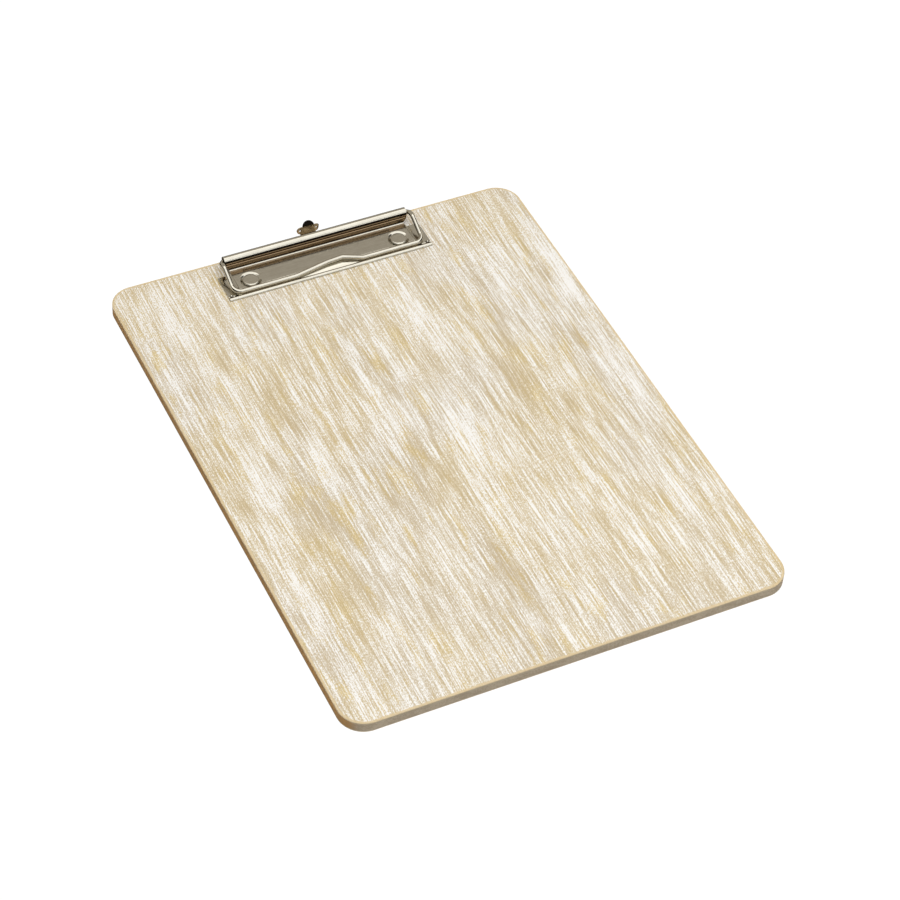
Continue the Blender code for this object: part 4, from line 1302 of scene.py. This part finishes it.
# ------------------------------------------------------------------ hanging tab
@dataclass
class HangingTab:
    """Pull-out sheet tab: stop, stem with a hook hole, and a pull that stands up behind the board."""

    datum: ClipDatum
    sheet: float = 0.6 * MM
    lift: float = 0.3 * MM
    stem_half: float = 4.5 * MM
    stop_half: float = 7.5 * MM
    stop_back: float = 20.05 * MM
    stop_length: float = 2.0 * MM
    hole_radius: float = 2.5 * MM
    hole_setback: float = 2.8 * MM
    bend_start: float = 1.8 * MM
    bend_radius: float = 0.8 * MM
    pull_rise: float = 0.3 * MM
    pull_height: float = 4.6 * MM
    flat_half: float = 4.7 * MM
    ear_bend: float = 2.0 * MM
    ear_angle: float = math.radians(55)
    eye_radius: float = 0.6 * MM
    eye_offset: float = 4.8 * MM
    nose_radius: float = 3.4 * MM
    nose_bend: float = 1.2 * MM
    nose_angle: float = math.radians(30)
    nose_length: float = 3.1 * MM

    def __post_init__(self) -> None:
        """Work out the places along the flat blank."""
        self.pull_near = self.bend_start + self.bend_radius * QUARTER + self.pull_rise
        self.pull_far = self.pull_near + self.pull_height
        self.ear_reach = self.flat_half + self.ear_bend * self.ear_angle

    def build(self, material: bpy.types.Material) -> None:
        """Cut the blank, fold it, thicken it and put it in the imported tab's place."""
        bm = self.blank()
        for place, normal in self.bend_lines():
            everything = bm.verts[:] + bm.edges[:] + bm.faces[:]
            bmesh.ops.bisect_plane(bm, geom=everything, dist=TOUCH, plane_co=place, plane_no=normal)
        for vert in bm.verts:
            vert.co = self.folded(vert.co)
        bmesh.ops.recalc_face_normals(bm, faces=bm.faces)
        tab = add_piece("pull_out_hanging_tab", bm, material)
        thicken(tab, self.sheet)
        ease_edges(tab, 0.1 * MM)
        bake_modifiers(tab)
        stand_for(tab, "hanging_tab")

    def blank(self) -> bmesh.types.BMesh:
        """Flat blank with its hole and eyes, y from the board's end edge."""
        bm = bmesh.new()
        end_radius = self.pull_height / 2
        end_centre = self.ear_reach - end_radius
        middle = self.pull_near + end_radius
        nose_centre = self.pull_far + self.nose_length - self.nose_radius
        nose_start = math.asin((self.pull_far - nose_centre) / self.nose_radius)
        right = [
            (self.stop_half, -self.stop_back - self.stop_length),
            (self.stop_half, -self.stop_back),
            (self.stem_half, -self.stop_back),
            (self.stem_half, self.pull_near),
        ]
        right += arc((end_centre, middle), end_radius, -QUARTER, QUARTER, 16)
        right += arc((0, nose_centre), self.nose_radius, nose_start, QUARTER, 14)[:-1]
        outline = right + [(0.0, self.pull_far + self.nose_length)] + [(-x, y) for x, y in reversed(right)]
        verts = [bm.verts.new((x, y, 0)) for x, y in outline]
        edges = [bm.edges.new(pair) for pair in zip(verts, verts[1:] + verts[:1])]
        holes = [(0.0, -self.hole_setback, self.hole_radius, 40)]
        holes += [(side.value * self.eye_offset, middle, self.eye_radius, 20) for side in Side]
        for x, y, radius, segments in holes:
            made = bmesh.ops.create_circle(bm, cap_ends=False, segments=segments, radius=radius)["verts"]
            bmesh.ops.translate(bm, vec=(x, y, 0), verts=made)
            edges += list({edge for vert in made for edge in vert.link_edges})
        bmesh.ops.triangle_fill(bm, use_beauty=True, edges=edges)
        return bm

    def bend_lines(self) -> list[tuple[tuple, tuple]]:
        """Lines across the blank where it bends, as (place, normal)."""
        steps = 10
        lines = []
        for step in range(steps + 1):
            part = step / steps
            across = self.flat_half + self.ear_bend * self.ear_angle * part
            lines.append(((0, self.bend_start + self.bend_radius * QUARTER * part, 0), (0, 1, 0)))
            lines.append(((0, self.pull_far + self.nose_bend * self.nose_angle * part, 0), (0, 1, 0)))
            lines.append(((across, 0, 0), (1, 0, 0)))
            lines.append(((-across, 0, 0), (1, 0, 0)))
        return lines

    @staticmethod
    def bent(distance: float, radius: float, angle: float) -> tuple[float, float]:
        """Run and rise of a point that lies distance along a strip bent away from its start."""
        turned_by = min(distance / radius, angle)
        rest = distance - radius * turned_by
        run = radius * math.sin(turned_by) + rest * math.cos(turned_by)
        rise = radius * (1 - math.cos(turned_by)) + rest * math.sin(turned_by)
        return run, rise

    def folded(self, flat: Vector) -> Vector:
        """Where a point of the blank goes, in the row frame."""
        x, y, behind = flat.x, flat.y, 0.0
        if y > self.pull_near - self.pull_rise / 2 and abs(x) > self.flat_half:
            run, behind = self.bent(abs(x) - self.flat_half, self.ear_bend, self.ear_angle)
            x = math.copysign(self.flat_half + run, x)
        if y > self.pull_far:
            run, lean = self.bent(y - self.pull_far, self.nose_bend, self.nose_angle)
            y, behind = self.pull_far + run, behind + lean
        height = self.lift + self.sheet / 2
        past = y - self.bend_start
        if past <= 0:
            return self.datum.at(x, -y, height)
        run, rise = self.bent(past, self.bend_radius, QUARTER)
        return self.datum.at(x, -(self.bend_start + run + behind), height + rise)


# ------------------------------------------------------------------ studio
@dataclass(frozen=True)
class SoftBox:
    """One soft light: where it hangs, what it faces, its size, its power and whether metal mirrors it."""

    name: str
    place: tuple[float, float, float]
    aim: tuple[float, float, float]
    size: tuple[float, float]
    power: float
    mirrored: bool = True
    colour: str = "#FFFFFF"


@dataclass
class Studio:
    """Plain pale floor, soft light from overhead and from the reader's side, and the camera."""

    camera_place: tuple[float, float, float] = (-0.47940, -0.90472, 1.05814)
    camera_turn: float = math.radians(-28.357)
    camera_tilt: float = math.radians(46.124)
    camera_roll: float = math.radians(4.196)
    lens: float = 114.615
    sensor: float = 36.0
    floor_size: float = 12.0
    room_colour: str = "#FFF6E8"
    room_turn: tuple[float, float] = (-0.15, 0.5)
    far_grey: float = 0.44
    near_grey: float = 0.01
    floor_drop: float = 0.05 * MM
    lights: tuple[SoftBox, ...] = (
        SoftBox("overhead_softbox", (0.15, -0.45, 1.3), (0.15, -0.45, 0.0), (2.1, 2.5), 22.0),
        SoftBox("front_softbox", (0.95, -2.35, 0.98), (0.0, 0.0, 0.0), (2.6, 0.75), 8.0),
        SoftBox("even_fill", (-0.3, -0.6, 2.4), (0.0, 0.0, 0.0), (2.4, 2.4), 16.0, mirrored=False),
    )

    def build(self) -> None:
        """Set up the floor, the lights, the room and the camera."""
        self.add_floor()
        for light in self.lights:
            self.add_light(light)
        self.add_room()
        self.add_camera()
        bpy.context.scene.view_settings.view_transform = "Standard"

    def add_floor(self) -> None:
        """Lay the paper floor just under the board's back face."""
        bm = bmesh.new()
        bmesh.ops.create_grid(bm, x_segments=4, y_segments=4, size=self.floor_size / 2)
        bmesh.ops.translate(bm, vec=(0, 0, CAD_BOX[0].z - self.floor_drop), verts=bm.verts)
        floor = add_piece("paper_floor", bm, SeamlessPaper().material())

    def add_light(self, light: SoftBox) -> None:
        """Hang one soft light."""
        data = bpy.data.lights.new(light.name, "AREA")
        data.shape = "RECTANGLE"
        data.size, data.size_y = light.size
        data.energy = light.power
        data.color = linear(light.colour)[:3]
        lamp = bpy.data.objects.new(light.name, data)
        bpy.context.scene.collection.objects.link(lamp)
        lamp.location = light.place
        away = Vector(light.place) - Vector(light.aim)
        lamp.rotation_mode = "QUATERNION"
        lamp.rotation_quaternion = away.to_track_quat("Z", "Y")
        lamp.visible_camera = False
        lamp.visible_glossy = light.mirrored

    def add_room(self) -> None:
        """Grey room that is lighter on the far side and dark on the reader's side."""
        world = bpy.data.worlds.new("studio_room")
        bpy.context.scene.world = world
        world.use_nodes = True
        tree = world.node_tree
        tree.nodes.clear()
        direction = add_node(tree, "TexCoord").outputs["Generated"]
        depth = add_node(tree, "SeparateXYZ", {0: direction}).outputs["Y"]
        level = ranged(tree, depth, *self.room_turn, self.near_grey, self.far_grey)
        background = add_node(tree, "Background", {"Color": linear(self.room_colour), "Strength": level})
        add_node(tree, "OutputWorld", {"Surface": background.outputs[0]})

    def add_camera(self) -> None:
        """Place the camera."""
        data = bpy.data.cameras.new("studio_camera")
        data.lens = self.lens
        data.sensor_width = self.sensor
        data.clip_start, data.clip_end = 0.05, 30.0
        camera = bpy.data.objects.new("studio_camera", data)
        bpy.context.scene.collection.objects.link(camera)
        level = math.cos(self.camera_tilt)
        back = Vector((
            math.sin(self.camera_turn) * level,
            -math.cos(self.camera_turn) * level,
            math.sin(self.camera_tilt),
        ))
        camera.location = self.camera_place
        camera.rotation_mode = "QUATERNION"
        roll = Quaternion((0, 0, 1), self.camera_roll)
        camera.rotation_quaternion = (-back).to_track_quat("-Z", "Y") @ roll
        bpy.context.scene.camera = camera


def sheet_bands(datum: ClipDatum) -> tuple[ShadeBand, ...]:
    """Shade on the base plate: under the roll, at the wall's foot, on the roll's front, behind the bead."""
    sheltered = (7.6, 10.1)  # setbacks of the wall and of the roll's front half
    return (
        ShadeBand.on(datum, sheltered, (1.75, 7.7), "#907A5E"),
        ShadeBand.on(datum, sheltered, (1.75, 2.9), "#33281C"),
        ShadeBand.on(datum, sheltered, (6.3, 7.6), "#1E1914"),
        ShadeBand.on(datum, (29.0, 30.0), (0.0, 1.8), "#7A6A52"),
    )


def tab_bands(datum: ClipDatum) -> tuple[ShadeBand, ...]:
    """Shade on the tab: its nose, above the pull."""
    return (ShadeBand.on(datum, (-12.0, 0.0), (6.6, 12.0), "#1C1814"),)


def main() -> None:
    """Build the clipboard's pieces in order, then the studio."""
    logging.basicConfig(level=logging.INFO, format="%(name)s: %(message)s")
    datum = ClipDatum.from_frame()
    veneer = WhitewashedOak().material()
    fibreboard = SandedFibreboard().material()
    plate = BrightNickel("bright_nickel_sheet", bands=sheet_bands(datum)).material()
    wire = BrightNickel("bright_nickel_wire", roughness=0.06, roughness_spread=0.04).material()
    satin = BrightNickel(
        "tumbled_nickel_tab",
        colour="#CDBFA6",
        dull_colour="#BDAE94",
        roughness=0.26,
        roughness_spread=0.10,
        bands=tab_bands(datum),
    ).material()
    spring = BrightNickel(
        "oiled_spring_steel", colour="#A9A59C", dull_colour="#8F8A80", roughness=0.28
    ).material()
    Board(datum).build(veneer, fibreboard)
    BasePlate(datum).build(plate)
    RivetSet(datum).build(plate)
    WireBail(datum).build(wire)
    TorsionSprings(datum).build(spring)
    HangingTab(datum).build(satin)
    Studio().build()


if __name__ == "__main__":
    main()
